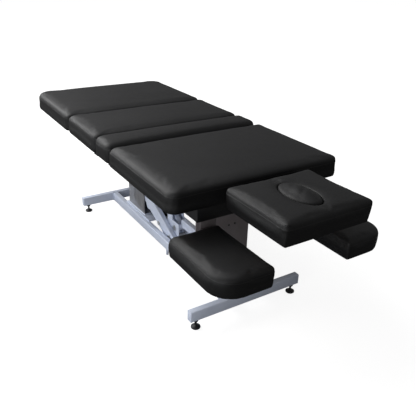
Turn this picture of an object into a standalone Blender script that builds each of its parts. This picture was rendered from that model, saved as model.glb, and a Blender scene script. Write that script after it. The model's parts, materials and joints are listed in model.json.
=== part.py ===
# Electric massage table: a padded top in four main sections, a face cushion and two arm rests,
# on a lift of two parallel link pairs driven by an electric actuator.
# Units are metres, +Z is up, +X points to the head end and -Y to the near long side.
# The origin is under the middle of the table, on the floor.

import math

import bmesh
import bpy
from mathutils import Matrix, Vector

# General
GAP = 0.0003                     # gap between faces that touch
OVERRUN = 0.004                  # how far a cutter reaches past what it cuts
RUN = 0.0003                     # radial clearance of a pin in its bore
ROUND_SIDES = 18                 # sides of a round piece
SMALL_SIDES = 12                 # sides of a small round piece
CORNER_STEPS = 3                 # straight steps in a rounded corner
ARC_SHARE = 1 - 1 / math.sqrt(2)  # how far an arc's middle lies inside its corner
FOLD_SHARE = 0.75                # inner radius of a fold, as a share of the sheet's thickness
TURN_SHARE = 0.9                 # rounding of an ear or foot, as a share of its reach
HEAD_SHARE = 0.72                # small pin heads, as a share of what they hold
SHARP_ANGLE = math.radians(35)   # edges sharper than this stay crisp

# Padded top
TABLE_WIDTH = 0.760
TOP_HEIGHT = 0.640
LEG_LENGTH = 0.537
THIGH_LENGTH = 0.369
SEAT_LENGTH = 0.153
BACK_LENGTH = 0.543
SECTION_GAP = 0.004
HEAD_GAP = 0.040
HEAD_LENGTH = 0.330
HEAD_WIDTH = 0.370
PAD_HEIGHT = 0.087               # crest of the cushion down to the underside of its board
BOARD_THICKNESS = 0.016
BOARD_INSET = 0.014              # board edge inside the cushion's side
BOARD_CORNER = 0.036
JOINT_CORNER = 0.034             # plan corners where two sections meet
LEG_END_CORNER = 0.085
BACK_END_CORNER = 0.045
PAD_EDGE = 0.026                 # rounding of the upper edge
PAD_CROWN = 0.005
PAD_DRAW_IN = 0.006              # how far the cover is drawn in at the bottom
PAD_SKIRT = 0.014                # height of the drawn-in band

# Face cushion, plug and arm rests
HEAD_PAD_HEIGHT = 0.084
HEAD_BOARD_THICKNESS = 0.012
HEAD_CORNER = 0.014
HEAD_EDGE = 0.020
HOLE_LENGTH = 0.196
HOLE_SHIFT = 0.007               # face hole's centre towards the head end of its cushion
HOLE_WIDTH = 0.114
PLUG_CLEARANCE = 0.001
PLUG_LEDGE = 0.008               # board rim that the plug rests on
PLUG_DOME = 0.012
PLUG_RISE = 0.010                # crest of the plug above the crest of the cushion
ARM_LENGTH = 0.345
ARM_WIDTH = 0.200
ARM_PAD_HEIGHT = 0.080
ARM_DROP = 0.125                 # underside of the fixed frame down to the arm pad's base
ARM_START = 0.008                # leg end of an arm pad past its bracket's strap
ARM_CENTRE_Y = 0.271
ARM_OUTER_CORNER = 0.098
ARM_CORNER = 0.012
ARM_EDGE = 0.018

# Frames under the top
FRAME_DEPTH = 0.053              # underside of the boards down to the underside of the frames
FRAME_TUBE = 0.030
FRAME_CENTRE_Y = 0.220
FRAME_LEG_INSET = 0.112          # fixed frame's ends inside the ends of the main top
FRAME_HEAD_INSET = 0.052
CROSS_CLEAR = 0.0005             # running gap of the section frames over the fixed frame
BACK_TUBE_WIDTH = 0.022
BACK_TUBE_OUTER_Y = 0.272
SECTION_TUBE_OUTER_Y = 0.262
BEARER_WIDTH = 0.028
BEARER_OFFSET = 0.003            # bearer edge beside the hinge pin line
MOVING_BEARER_OFFSET = 0.007

# Ear hinges of the back and thigh sections
HINGE_DROP = 0.025               # hinge line below the cushion crest
EAR_RADIUS = 0.0065
EAR_THICKNESS = 0.0025
FIXED_EAR_Y = 0.3685             # inner face of the fixed ear
EAR_GAP = 0.0005
EAR_FOOT = 0.008                 # height of an ear's foot and of a bearer's thin ends
BEARER_TAPER_Y = 0.300           # the bearers are full depth out to here
PIN_RADIUS = 0.0035
PIN_HEAD_RADIUS = 0.0055
PIN_HEAD = 0.0016

# Knee hinge
KNUCKLE_RADIUS = 0.0100
KNUCKLE_WIDTH = 0.015
KNUCKLE_INNER_Y = 0.150
KNEE_PIN_RADIUS = 0.004
KNEE_BAR_OFFSET = 0.013
GLIDE_INSET = 0.001              # glide tube thinner than the side tubes by this, top and bottom
GLIDE_DISTANCE = 0.420           # knee line to the round cross tube that glides on the fixed frame

# Base
TUBE_WIDTH = 0.030
TUBE_HEIGHT = 0.048
TUBE_WALL = 0.0025
TUBE_CORNER = 0.004
TUBE_CLEARANCE = 0.042           # floor to the underside of the base tubes
CROSSBAR_LENGTH = 0.556
CROSSBAR_SPACING = 1.226
BASE_OFFSET = 0.030              # middle of the base behind the post
RAIL_CENTRE_Y = 0.082
FOOT_RADIUS = 0.020
FOOT_INSET = 0.030
FOOT_PAD = 0.007
STEM_RADIUS = 0.005
STEM_TOP = 0.078
NUT_RADIUS = 0.011
NUT_HEIGHT = 0.008
GLIDE_STUB_RADIUS = 0.0065
GLIDE_STUB_FROM_HEAD = 0.557     # head crossbar centre to the stub under each rail
GLIDE_STUB_CLEARANCE = 0.003     # floor to the stub

# Column and base plate
COLUMN_DEPTH = 0.200
COLUMN_WIDTH = 0.132
COLUMN_WALL = 0.003
COLUMN_BACK = 0.465              # back of the column behind the post
COLUMN_TOP = 0.405
COLUMN_BEND = 0.007
COLUMN_SLANT_X = 0.055
COLUMN_SLANT_Z = 0.075
PLATE_THICKNESS = 0.006
PLATE_LENGTH = 0.290
PLATE_WIDTH = 0.156
PLATE_BACK = 0.010               # plate edge behind the column's back

# Lift links
LINK_LENGTH = 0.445
LINK_HEIGHT = 0.070
LINK_WIDTH = 0.025
LINK_INNER_Y = 0.035
LINK_WALL = 0.003
LINK_CORNER = 0.005
LINK_END = 0.032                 # tube end past the pivot
LINK_REST_ANGLE = math.radians(26)
LOWER_PIVOT_FROM_BACK = 0.070
LOWER_PIVOT_Z = 0.277
PIVOT_STEP_X = 0.009             # upper pivots from the lower ones
PIVOT_STEP_Z = 0.054
SHAFT_RADIUS = 0.010
SHAFT_HEAD_RADIUS = 0.015
SHAFT_HEAD = 0.0035
BUSH_RADIUS = 0.016
UPPER_LINK_HEIGHT = 0.050
UPPER_LINK_WIDTH = 0.025
UPPER_LINK_END = 0.022
HUB_RADIUS = 0.014               # sleeves of the upper link
LUG_DISTANCE = 0.200
LUG_DROP = 0.017
LUG_RADIUS = 0.028
TIE_RADIUS = 0.016

# Carriage
CHEEK_THICKNESS = 0.004
CHEEK_OUTER_Y = 0.034
CHEEK_EAR = 0.024
CHEEK_TOP = 0.238
CHEEK_STEP_Z = 0.172             # top edge of the cheeks in front of their neck
CHEEK_NECK = 0.010               # front and back of the cheeks' neck behind the post's middle
CHEEK_BACK = 0.058
CHEEK_BACK_Z = 0.150
CHEEK_FRONT_Z = 0.104
CHEEK_FILLET = 0.006
BEAM_START = 0.048               # cross plate in front of the post's middle
BEAM_BOTTOM = 0.150
BEAM_HEIGHT = 0.043
BEAM_WIDTH = 0.030
BEAM_WALL = 0.003
BEAM_CORNER = 0.005
BEAM_SEAT = 0.008                # thickness of the cross plate that the beam starts on
HEAD_PLATE_INSET = 0.237         # plate inside the head end of the back section
HEAD_PLATE_THICKNESS = 0.005
HEAD_PLATE_WIDTH = 0.274
HEAD_PLATE_BOTTOM = 0.160
POST_FROM_THIGH = 0.080          # thigh hinge line to the middle of the post
POST_SIZE = 0.060
POST_FLANGE = 0.100
POST_FLANGE_THICKNESS = 0.006
POST_SEAT = 0.006                # thickness of the plate between the cheeks and the post

# Actuator
ACTUATOR_BASE_FROM_BACK = 0.030
ACTUATOR_BASE_Z = 0.135
ACTUATOR_PIN_DISTANCE = 0.330    # lower column pivot to the actuator's upper pin, along the link
ACTUATOR_PIN_DROP = 0.020        # and below the link's centre line
HOUSING_RADIUS = 0.018
HOUSING_START = 0.028
HOUSING_END = 0.295
GEARBOX_LENGTH = 0.032
GEARBOX_HALF_WIDTH = 0.0225
MOTOR_RADIUS = 0.021
MOTOR_OFFSET = 0.047
MOTOR_LENGTH = 0.100
EYE_HALF_WIDTH = 0.012
EYE_RADIUS = 0.016
ROD_RADIUS = 0.009
ROD_START = 0.120
BORE_START = 0.100
BASE_PIN_RADIUS = 0.007
TOP_PIN_RADIUS = 0.008
TOP_PIN_PLAY = 0.0036            # free play of the rod's eye on the open pivot
TOP_EYE_RADIUS = 0.019
CLEVIS_THICKNESS = 0.006

# Gas struts under the back and the thigh section
STRUT_RADIUS = 0.011
STRUT_END_PLAY = 0.0010          # side play of an eye between its lugs
STRUT_ROD_RADIUS = 0.005
STRUT_EYE_RADIUS = 0.010
STRUT_PIN_RADIUS = 0.004
STRUT_HALF_WIDTH = 0.0075
STRUT_EAR = 0.004
STRUT_WALL = 0.003
STRUT_END_GAP = 0.024            # tube end to the rod's pin at rest
STRUT_BACK_PLAY = 0.0013
STRUT_BACK_SLOT = 0.0058         # half length of the lost-motion slot
STRUT_THIGH_PLAY = 0.0013
BACK_STRUT_FROM_POST = 0.060
BACK_STRUT_DROP = 0.195          # pin below the hinge line
BACK_STRUT_REACH = 0.173         # hinge line to the pin on the back frame
BACK_LUG_DROP = 0.101            # hinge line down to the pins on the section frames
THIGH_LUG_DROP = 0.080
THIGH_STRUT_FROM_POST = 0.050
THIGH_STRUT_DROP = 0.155
THIGH_STRUT_REACH = 0.130
STRUT_BAR_CLEAR = 0.027
STRUT_BAR_WIDTH = 0.022

# Head support
ROD_TUBE_RADIUS = 0.008
ROD_TUBE_Y = 0.110
ROD_REACH = 0.316                # head support rods inside the back section
HEAD_HINGE_BACK = 0.014          # hinge tube behind the face cushion
HEAD_HINGE_RADIUS = 0.009
HEAD_SLEEVE_RADIUS = 0.0125
HEAD_STRAP_Y = 0.070
HEAD_STRAP_WIDTH = 0.024
HEAD_STRAP_LENGTH = 0.160
HEAD_STRAP_THICKNESS = 0.005
HEAD_TIE_OFFSET = 0.028          # hinge tube to the cross plate between the straps
GUIDE_INSET = 0.212              # cross bar that guides the rods, from the back section's end
GUIDE_WIDTH = 0.024

# Arm brackets
STRAP_THICKNESS = 0.004
STRAP_INNER_Y = 0.165
STRAP_WIDTH = 0.070
STRAP_INSET = 0.042              # arm bracket's strap inside the back section's end
ARM_PIVOT = 0.080                # strap to the arm's pivot
ARM_BOSS_RADIUS = 0.018
ARM_STUB_RADIUS = 0.010
ARM_STUB_HEIGHT = 0.010

# Control box and inlet
BOX_LENGTH = 0.150
BOX_WIDTH = 0.170
BOX_HEIGHT = 0.056
BOX_FROM_POST = 0.590
BOX_EDGE = 0.006
INLET_WIDTH = 0.046
INLET_HEIGHT = 0.030
INLET_DEPTH = 0.022
INLET_WALL = 0.004

# Worked-out places
OVERALL_LENGTH = (LEG_LENGTH + THIGH_LENGTH + SEAT_LENGTH + BACK_LENGTH + HEAD_GAP + HEAD_LENGTH
                  + 3 * SECTION_GAP)
LEG_END_X = -OVERALL_LENGTH / 2
KNEE_X = LEG_END_X + LEG_LENGTH + SECTION_GAP / 2
THIGH_X = KNEE_X + THIGH_LENGTH + SECTION_GAP
BACK_X = THIGH_X + SEAT_LENGTH + SECTION_GAP
BACK_END_X = BACK_X + BACK_LENGTH + SECTION_GAP / 2
HEAD_START_X = BACK_END_X + HEAD_GAP
POST_X = THIGH_X + POST_FROM_THIGH
BASE_CENTRE_X = POST_X - BASE_OFFSET
COLUMN_BACK_X = POST_X - COLUMN_BACK
BOX_CENTRE_X = POST_X - BOX_FROM_POST
FRAME_LEG_END = LEG_END_X + FRAME_LEG_INSET
FRAME_HEAD_END = BACK_END_X - FRAME_HEAD_INSET
HEAD_PLATE_X = BACK_END_X - HEAD_PLATE_INSET
ROD_TUBE_START = BACK_END_X - ROD_REACH
GUIDE_X = BACK_END_X - GUIDE_INSET
STRAP_X = BACK_END_X - STRAP_INSET
ARM_PIVOT_X = STRAP_X + ARM_PIVOT
ARM_START_X = STRAP_X + ARM_START
HOLE_CENTRE_X = HEAD_START_X + HEAD_LENGTH / 2 + HOLE_SHIFT
BOARD_Z = TOP_HEIGHT - PAD_HEIGHT
HINGE_Z = TOP_HEIGHT - HINGE_DROP
FRAME_Z = BOARD_Z - FRAME_DEPTH
FRAME_TOP_Z = FRAME_Z + FRAME_TUBE
ARM_BASE_Z = FRAME_Z - ARM_DROP
BEARER_TOP_Z = BOARD_Z - GAP
SECTION_Z = FRAME_TOP_Z + CROSS_CLEAR
SECTION_HEIGHT = BEARER_TOP_Z - SECTION_Z
KNEE_Z = (SECTION_Z + BEARER_TOP_Z) / 2
TUBE_TOP = TUBE_CLEARANCE + TUBE_HEIGHT
PLATE_BOTTOM = TUBE_TOP + GAP
PLATE_TOP = PLATE_BOTTOM + PLATE_THICKNESS
COLUMN_BOTTOM = PLATE_TOP + GAP
HEAD_BAR_X = BASE_CENTRE_X + CROSSBAR_SPACING / 2
LEG_BAR_X = BASE_CENTRE_X - CROSSBAR_SPACING / 2
LINK_OUTER_Y = LINK_INNER_Y + LINK_WIDTH
EAR_OUTER_Y = FIXED_EAR_Y + 2 * EAR_THICKNESS + EAR_GAP
LOWER_BASE = Vector((COLUMN_BACK_X + LOWER_PIVOT_FROM_BACK, 0, LOWER_PIVOT_Z))
UPPER_BASE = LOWER_BASE + Vector((PIVOT_STEP_X, 0, PIVOT_STEP_Z))
LINK_ALONG = Vector((math.cos(LINK_REST_ANGLE), 0, -math.sin(LINK_REST_ANGLE)))
LINK_DOWN = Vector((-math.sin(LINK_REST_ANGLE), 0, -math.cos(LINK_REST_ANGLE)))
LOWER_HEAD = LOWER_BASE + LINK_ALONG * LINK_LENGTH
UPPER_HEAD = UPPER_BASE + LINK_ALONG * LINK_LENGTH
LUG_CENTRE = LOWER_BASE + LINK_ALONG * LUG_DISTANCE + LINK_DOWN * LUG_DROP
ACTUATOR_BASE = Vector((COLUMN_BACK_X + ACTUATOR_BASE_FROM_BACK, 0, ACTUATOR_BASE_Z))
ACTUATOR_TOP = LOWER_BASE + LINK_ALONG * ACTUATOR_PIN_DISTANCE + LINK_DOWN * ACTUATOR_PIN_DROP
BACK_HINGE = Vector((BACK_X, 0, HINGE_Z))
THIGH_HINGE = Vector((THIGH_X, 0, HINGE_Z))
KNEE_HINGE = Vector((KNEE_X, 0, KNEE_Z))
BACK_STRUT_LOW = Vector((POST_X + BACK_STRUT_FROM_POST, 0, HINGE_Z - BACK_STRUT_DROP))
BACK_STRUT_HIGH = Vector((BACK_X + BACK_STRUT_REACH, 0, HINGE_Z - BACK_LUG_DROP))
THIGH_STRUT_LOW = Vector((POST_X - THIGH_STRUT_FROM_POST, 0, HINGE_Z - THIGH_STRUT_DROP))
THIGH_STRUT_HIGH = Vector((THIGH_X - THIGH_STRUT_REACH, 0, HINGE_Z - THIGH_LUG_DROP))
HEAD_HINGE = Vector((HEAD_START_X - HEAD_HINGE_BACK, 0, KNEE_Z))
HEAD_BASE_Z = HEAD_HINGE.z + HEAD_SLEEVE_RADIUS + GAP
ARM_PIVOTS = {"near": Vector((ARM_PIVOT_X, -ARM_CENTRE_Y, ARM_BASE_Z)),
              "far": Vector((ARM_PIVOT_X, ARM_CENTRE_Y, ARM_BASE_Z))}
SIDES = {"near": -1, "far": 1}

# How local axes of a flat outline or a tube section lie in the world
PLANES = {"XY": Matrix(((1, 0, 0), (0, 1, 0), (0, 0, 1))),
          "XZ": Matrix(((1, 0, 0), (0, 0, -1), (0, 1, 0))),
          "YZ": Matrix(((0, 0, 1), (1, 0, 0), (0, 1, 0)))}
NORMALS = {"XY": "Z", "XZ": "Y", "YZ": "X"}

COLOURS = {
    "vinyl": ((0.012, 0.012, 0.013), 0.42, 0.0),
    "plywood": ((0.46, 0.33, 0.20), 0.70, 0.0),
    "base_paint": ((0.50, 0.53, 0.62), 0.38, 0.35),
    "column_paint": ((0.20, 0.20, 0.21), 0.45, 0.35),
    "black_paint": ((0.014, 0.014, 0.015), 0.45, 0.10),
    "plate_paint": ((0.085, 0.076, 0.076), 0.50, 0.20),
    "zinc": ((0.55, 0.56, 0.58), 0.32, 0.90),
    "black_plastic": ((0.010, 0.010, 0.011), 0.50, 0.0),
    "grey_plastic": ((0.16, 0.16, 0.17), 0.50, 0.0),
}


def clear_scene():
    for item in list(bpy.data.objects):
        bpy.data.objects.remove(item, do_unlink=True)


def add_collection(name):
    collection = bpy.data.collections.new(name)
    bpy.context.scene.collection.children.link(collection)
    return collection


def add_material(name, finish):
    colour, roughness, metallic = COLOURS[finish]
    material = bpy.data.materials.new(name)
    material.use_nodes = True
    shader = material.node_tree.nodes["Principled BSDF"]
    shader.inputs["Base Color"].default_value = (*colour, 1)
    shader.inputs["Roughness"].default_value = roughness
    shader.inputs["Metallic"].default_value = metallic
    material.diffuse_color = (*colour, 1)
    return material


clear_scene()
PARTS = add_collection("electric_massage_table")
CUTTERS = add_collection("cutters")


def add_object(name, mesh, centre):
    item = bpy.data.objects.new(name, mesh)
    item.location = centre
    PARTS.objects.link(item)
    return item


def finish_part(item, finish, smooth=True):
    """Gives a sub-part its own material and shades its round faces smooth."""
    item.data.materials.clear()
    item.data.materials.append(add_material(item.name + "_finish", finish))
    if smooth:
        item.data.shade_smooth()
        item.data.set_sharp_from_angle(angle=SHARP_ANGLE)
    return item


def combine(item, other, operation):
    """Cuts the other shape out of the item, or joins it on, and keeps the other as a guide."""
    modifier = item.modifiers.new(operation.lower(), "BOOLEAN")
    modifier.operation = operation
    modifier.object = other
    PARTS.objects.unlink(other)
    CUTTERS.objects.link(other)
    other.hide_render = True
    other.display_type = "WIRE"
    return item


def cut(item, *others):
    for other in others:
        combine(item, other, "DIFFERENCE")
    return item


def weld(item, *others):
    for other in others:
        combine(item, other, "UNION")
    return item


def mesh_from(work, name):
    mesh = bpy.data.meshes.new(name)
    bmesh.ops.recalc_face_normals(work, faces=work.faces)
    work.to_mesh(mesh)
    work.free()
    return mesh


def box(name, low, high):
    low, high = Vector(low), Vector(high)
    work = bmesh.new()
    bmesh.ops.create_cube(work, size=1)
    bmesh.ops.scale(work, vec=high - low, verts=work.verts)
    return add_object(name, mesh_from(work, name), (low + high) / 2)


def cylinder(name, radius, start, end, axis, sides=ROUND_SIDES):
    """A round bar between two points that lie along one world axis."""
    start, end = Vector(start), Vector(end)
    work = bmesh.new()
    bmesh.ops.create_cone(work, cap_ends=True, segments=sides, radius1=radius, radius2=radius,
                          depth=(end - start).length)
    turn = {"X": Matrix.Rotation(math.pi / 2, 3, "Y"), "Y": Matrix.Rotation(math.pi / 2, 3, "X"),
            "Z": Matrix.Identity(3)}[axis]
    bmesh.ops.rotate(work, matrix=turn, verts=work.verts)
    return add_object(name, mesh_from(work, name), (start + end) / 2)


def cross_bar(name, radius, centre, low_y, high_y, sides=ROUND_SIDES):
    """A round bar across the table, from low_y to high_y, through a point of the X-Z plane."""
    return cylinder(name, radius, (centre[0], low_y, centre[2]), (centre[0], high_y, centre[2]),
                    "Y", sides)


def round_corners(corners, steps=CORNER_STEPS):
    """Closed outline through (x, y, radius) corners, each one an arc of the given steps."""
    points = []
    for index, (x, y, radius) in enumerate(corners):
        here = Vector((x, y))
        back = Vector(corners[index - 1][:2]) - here
        ahead = Vector(corners[(index + 1) % len(corners)][:2]) - here
        if radius == 0:
            points.append(here)
            continue
        back.normalize()
        ahead.normalize()
        half = back.angle(ahead) / 2
        reach = radius / math.tan(half)
        centre = here + (back + ahead).normalized() * (radius / math.sin(half))
        start = here + back * reach - centre
        end = here + ahead * reach - centre
        first = math.atan2(start.y, start.x)
        sweep = math.atan2(start.x * end.y - start.y * end.x, start.dot(end))
        for step in range(steps + 1):
            angle = first + sweep * step / steps
            points.append(centre + radius * Vector((math.cos(angle), math.sin(angle))))
    return points


def rectangle(low, high, radius, steps=CORNER_STEPS):
    (x0, y0), (x1, y1) = low, high
    return round_corners(((x0, y0, radius), (x1, y0, radius), (x1, y1, radius), (x0, y1, radius)),
                         steps)


def circle(centre, radius, sides=SMALL_SIDES):
    return [Vector((centre[0] + radius * math.cos(2 * math.pi * step / sides),
                    centre[1] + radius * math.sin(2 * math.pi * step / sides)))
            for step in range(sides)]


def stadium(start, end, radius, steps=SMALL_SIDES // 2):
    """A slot shape: half circles of one radius round two points, joined by straight sides."""
    start, end = Vector(start), Vector(end)
    along = (end - start).normalized()
    points = []
    for centre, turn in ((end, -math.pi / 2), (start, math.pi / 2)):
        for step in range(steps + 1):
            angle = math.atan2(along.y, along.x) + turn + math.pi * step / steps
            points.append(centre + radius * Vector((math.cos(angle), math.sin(angle))))
    return points


def flat_piece(name, outlines, plane, low, high):
    """Extrudes flat outlines (the first one less the others) between two places on the normal."""
    curve = bpy.data.curves.new(name, "CURVE")
    curve.dimensions = "2D"
    curve.fill_mode = "BOTH"
    curve.extrude = (high - low) / 2
    middle = sum((Vector(point) for point in outlines[0]), Vector((0, 0))) / len(outlines[0])
    for outline in outlines:
        spline = curve.splines.new("POLY")
        spline.points.add(len(outline) - 1)
        for place, point in zip(spline.points, outline):
            place.co = (point[0] - middle.x, point[1] - middle.y, 0, 1)
        spline.use_cyclic_u = True
    guide = bpy.data.objects.new(name + "_outline", curve)
    PARTS.objects.link(guide)
    graph = bpy.context.evaluated_depsgraph_get()
    mesh = bpy.data.meshes.new_from_object(guide.evaluated_get(graph))
    bpy.data.objects.remove(guide, do_unlink=True)
    turn = PLANES[plane]
    work = bmesh.new()
    work.from_mesh(mesh)
    bpy.data.meshes.remove(mesh)
    bmesh.ops.remove_doubles(work, verts=work.verts, dist=GAP / 10)
    bmesh.ops.transform(work, matrix=turn.to_4x4(), verts=work.verts)
    centre = turn @ Vector((middle.x, middle.y, 0))
    centre["XYZ".index(NORMALS[plane])] = (low + high) / 2
    return add_object(name, mesh_from(work, name), centre)


def tube(name, low, high, axis, wall, corner):
    """Hollow rectangular tube with rounded edges and open ends, along one world axis."""
    plane = {"X": "YZ", "Y": "XZ", "Z": "XY"}[axis]
    first, second = {"X": (1, 2), "Y": (0, 2), "Z": (0, 1)}[axis]
    length = "XYZ".index(axis)
    outer = rectangle((low[first], low[second]), (high[first], high[second]), corner)
    inner = rectangle((low[first] + wall, low[second] + wall),
                      (high[first] - wall, high[second] - wall), max(corner - wall, corner / 4))
    return flat_piece(name, (outer, inner), plane, low[length], high[length])


def turned(name, profile, centre, sides=ROUND_SIDES, scale=(1, 1, 1)):
    """Turns a profile of (radius, height) points about +Z; it runs from the top down its outside."""
    mesh = bpy.data.meshes.new(name)
    mesh.from_pydata([(radius, 0, height) for radius, height in profile],
                     [(index, index + 1) for index in range(len(profile) - 1)], [])
    item = add_object(name, mesh, centre)
    item.scale = scale
    screw = item.modifiers.new("turn", "SCREW")
    screw.steps = sides
    screw.render_steps = sides
    screw.use_merge_vertices = True
    screw.merge_threshold = GAP / 10
    screw.use_smooth_shade = True
    return item


def pad_cage(name, length, width, height, corners, edge, crown):
    """Coarse cage of a cushion, centred, that a Subdivision Surface rounds.

    corners holds the plan radii at (-x -y), (+x -y), (+x +y) and (-x +y).
    """
    half = Vector((length, width, height)) / 2
    leg_side, head_side = max(corners[0], corners[3]), max(corners[1], corners[2])
    near_side, far_side = max(corners[0], corners[1]), max(corners[2], corners[3])
    cuts = {0: (-half.x + leg_side, -half.x / 3, half.x / 3, half.x - head_side),
            1: (-half.y + near_side, -half.y / 3, half.y / 3, half.y - far_side),
            2: (-half.z + PAD_SKIRT, half.z - edge)}
    work = bmesh.new()
    bmesh.ops.create_cube(work, size=1)
    bmesh.ops.scale(work, vec=2 * half, verts=work.verts)
    for axis, places in cuts.items():
        normal = Vector((axis == 0, axis == 1, axis == 2))
        for place in places:
            bmesh.ops.bisect_plane(work, geom=work.verts[:] + work.edges[:] + work.faces[:],
                                   plane_co=normal * place, plane_no=normal, dist=GAP / 10)
    crease = work.edges.layers.float.new("crease_edge")
    for line in work.edges:
        low = all(point.co.z < GAP - half.z for point in line.verts)
        if low and any(abs(face.normal.z) < ARC_SHARE for face in line.link_faces):
            line[crease] = 1
    for point in work.verts:
        place_cage_point(point, half, corners, edge, crown)
    return mesh_from(work, name)


def place_cage_point(point, half, corners, edge, crown):
    """Rounds the plan corners and the upper edge, draws the bottom in and lifts the crown."""
    x, y, z = point.co
    side_x = (x > half.x - GAP) - (x < GAP - half.x)
    side_y = (y > half.y - GAP) - (y < GAP - half.y)
    bottom, top = z < GAP - half.z, z > half.z - GAP
    inset = PAD_DRAW_IN if bottom else edge * ARC_SHARE if top and (side_x or side_y) else 0
    shrink = ARC_SHARE * corners[(0, 3)[side_y > 0] if side_x < 0 else (1, 2)[side_y > 0]]
    shrink = shrink if side_x and side_y else 0
    point.co.x -= side_x * (inset + shrink)
    point.co.y -= side_y * (inset + shrink)
    if top:
        swell = (1 - (x / half.x) ** 2) * (1 - (y / half.y) ** 2)
        point.co.z += -crown + crown * swell if not (side_x or side_y) else -crown - edge * ARC_SHARE


def cushion(name, low, high, corners, edge, crown, board_thickness):
    """A vinyl-covered pad, hollowed underneath for the board that it is stapled round."""
    low, high = Vector(low), Vector(high)
    size = high - low
    mesh = pad_cage(name, size.x, size.y, size.z, corners, edge, crown)
    item = add_object(name, mesh, (low + high) / 2)
    rounding = item.modifiers.new("rounding", "SUBSURF")
    rounding.levels = 1
    rounding.render_levels = 1
    pocket = board_solid(name + "_pocket", low, high, corners, -GAP,
                         low.z - OVERRUN, low.z + board_thickness + GAP)
    cut(item, pocket)
    return finish_part(item, "vinyl")


def board_solid(name, low, high, corners, inset, bottom, top):
    """Board outline: the cushion's plan, smaller by the board inset, with its rounded corners."""
    edge = BOARD_INSET + inset
    radii = [max(BOARD_CORNER, corner) - inset for corner in corners]
    outline = round_corners(((low.x + edge, low.y + edge, radii[0]),
                             (high.x - edge, low.y + edge, radii[1]),
                             (high.x - edge, high.y - edge, radii[2]),
                             (low.x + edge, high.y - edge, radii[3])), CORNER_STEPS + 1)
    return flat_piece(name, (outline,), "XY", bottom, top)


def board(name, low, high, corners, thickness):
    low, high = Vector(low), Vector(high)
    item = board_solid(name, low, high, corners, 0, low.z, low.z + thickness)
    return finish_part(item, "plywood", smooth=False)


SECTIONS = {
    "leg": (LEG_END_X, KNEE_X - SECTION_GAP / 2,
            (LEG_END_CORNER, JOINT_CORNER, JOINT_CORNER, LEG_END_CORNER)),
    "thigh": (KNEE_X + SECTION_GAP / 2, THIGH_X - SECTION_GAP / 2, (JOINT_CORNER,) * 4),
    "seat": (THIGH_X + SECTION_GAP / 2, BACK_X - SECTION_GAP / 2, (JOINT_CORNER,) * 4),
    "back": (BACK_X + SECTION_GAP / 2, BACK_END_X,
             (JOINT_CORNER, BACK_END_CORNER, BACK_END_CORNER, JOINT_CORNER)),
}


def build_sections():
    for name, (start, end, corners) in SECTIONS.items():
        low = (start, -TABLE_WIDTH / 2, BOARD_Z)
        high = (end, TABLE_WIDTH / 2, TOP_HEIGHT)
        cushion(name + "_cushion", low, high, corners, PAD_EDGE, PAD_CROWN, BOARD_THICKNESS)
        board(name + "_board", low, high, corners, BOARD_THICKNESS)


def oval_solid(name, grow, bottom, top):
    """Prism of the face hole's oval, grown by a margin."""
    outline = [Vector((HOLE_CENTRE_X + (HOLE_LENGTH / 2 + grow) * math.cos(angle),
                       (HOLE_WIDTH / 2 + grow) * math.sin(angle)))
               for angle in (2 * math.pi * step / ROUND_SIDES for step in range(ROUND_SIDES))]
    return flat_piece(name, (outline,), "XY", bottom, top)


def build_head():
    low = Vector((HEAD_START_X, -HEAD_WIDTH / 2, HEAD_BASE_Z))
    high = Vector((HEAD_START_X + HEAD_LENGTH, HEAD_WIDTH / 2, HEAD_BASE_Z + HEAD_PAD_HEIGHT))
    corners = (HEAD_CORNER,) * 4
    pad = cushion("head_cushion", low, high, corners, HEAD_EDGE, PAD_CROWN, HEAD_BOARD_THICKNESS)
    cut(pad, oval_solid("head_cushion_hole", 0, low.z - OVERRUN, high.z + OVERRUN))
    base = board("head_board", low, high, corners, HEAD_BOARD_THICKNESS)
    cut(base, oval_solid("head_board_hole", -PLUG_LEDGE, low.z - OVERRUN,
                         low.z + 2 * HEAD_BOARD_THICKNESS))
    build_face_plug(high)
    build_head_hinge(low)
    build_head_bracket()


def build_face_plug(high):
    """Domed oval plug that fills the face hole and rests on the board's rim."""
    height = HEAD_PAD_HEIGHT + PLUG_RISE - HEAD_BOARD_THICKNESS - GAP
    steps = SMALL_SIDES // 4
    dome = [(math.sin(math.pi / 2 * step / steps) * (1 - PLUG_DOME / HOLE_WIDTH),
             -PLUG_DOME * (1 - math.cos(math.pi / 2 * step / steps)))
            for step in range(steps + 1)]
    skirt = [(1, -2 * PLUG_DOME), (1, -height + PLUG_DOME),
             (1 - PLUG_DOME / HOLE_WIDTH, -height), (0, -height)]
    scale = (HOLE_LENGTH / 2 - PLUG_CLEARANCE, HOLE_WIDTH / 2 - PLUG_CLEARANCE, 1)
    centre = (HOLE_CENTRE_X, 0, high.z + PLUG_RISE)
    plug = turned("face_plug", dome + skirt, centre, sides=ROUND_SIDES, scale=scale)
    finish_part(plug, "vinyl")


def build_head_hinge(low):
    """Two steel straps under the head board with sleeves round the hinge tube."""
    top = low.z - GAP
    bottom = top - HEAD_STRAP_THICKNESS
    plate_x = HEAD_HINGE.x + HEAD_TIE_OFFSET
    plate = box("head_hinge", (plate_x, -HEAD_STRAP_Y, bottom),
                (plate_x + HEAD_STRAP_WIDTH, HEAD_STRAP_Y, top))
    for side in SIDES.values():
        inner, outer = sorted((side * (HEAD_STRAP_Y - HEAD_STRAP_WIDTH / 2),
                               side * (HEAD_STRAP_Y + HEAD_STRAP_WIDTH / 2)))
        weld(plate, box("head_strap", (HEAD_HINGE.x, inner, bottom),
                        (HEAD_HINGE.x + HEAD_STRAP_LENGTH, outer, top)),
             cross_bar("head_sleeve", HEAD_SLEEVE_RADIUS, HEAD_HINGE, inner, outer))
        cut(plate, cross_bar("head_sleeve_bore", HEAD_HINGE_RADIUS + RUN, HEAD_HINGE,
                             inner - OVERRUN, outer + OVERRUN))
    finish_part(plate, "black_paint")


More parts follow.
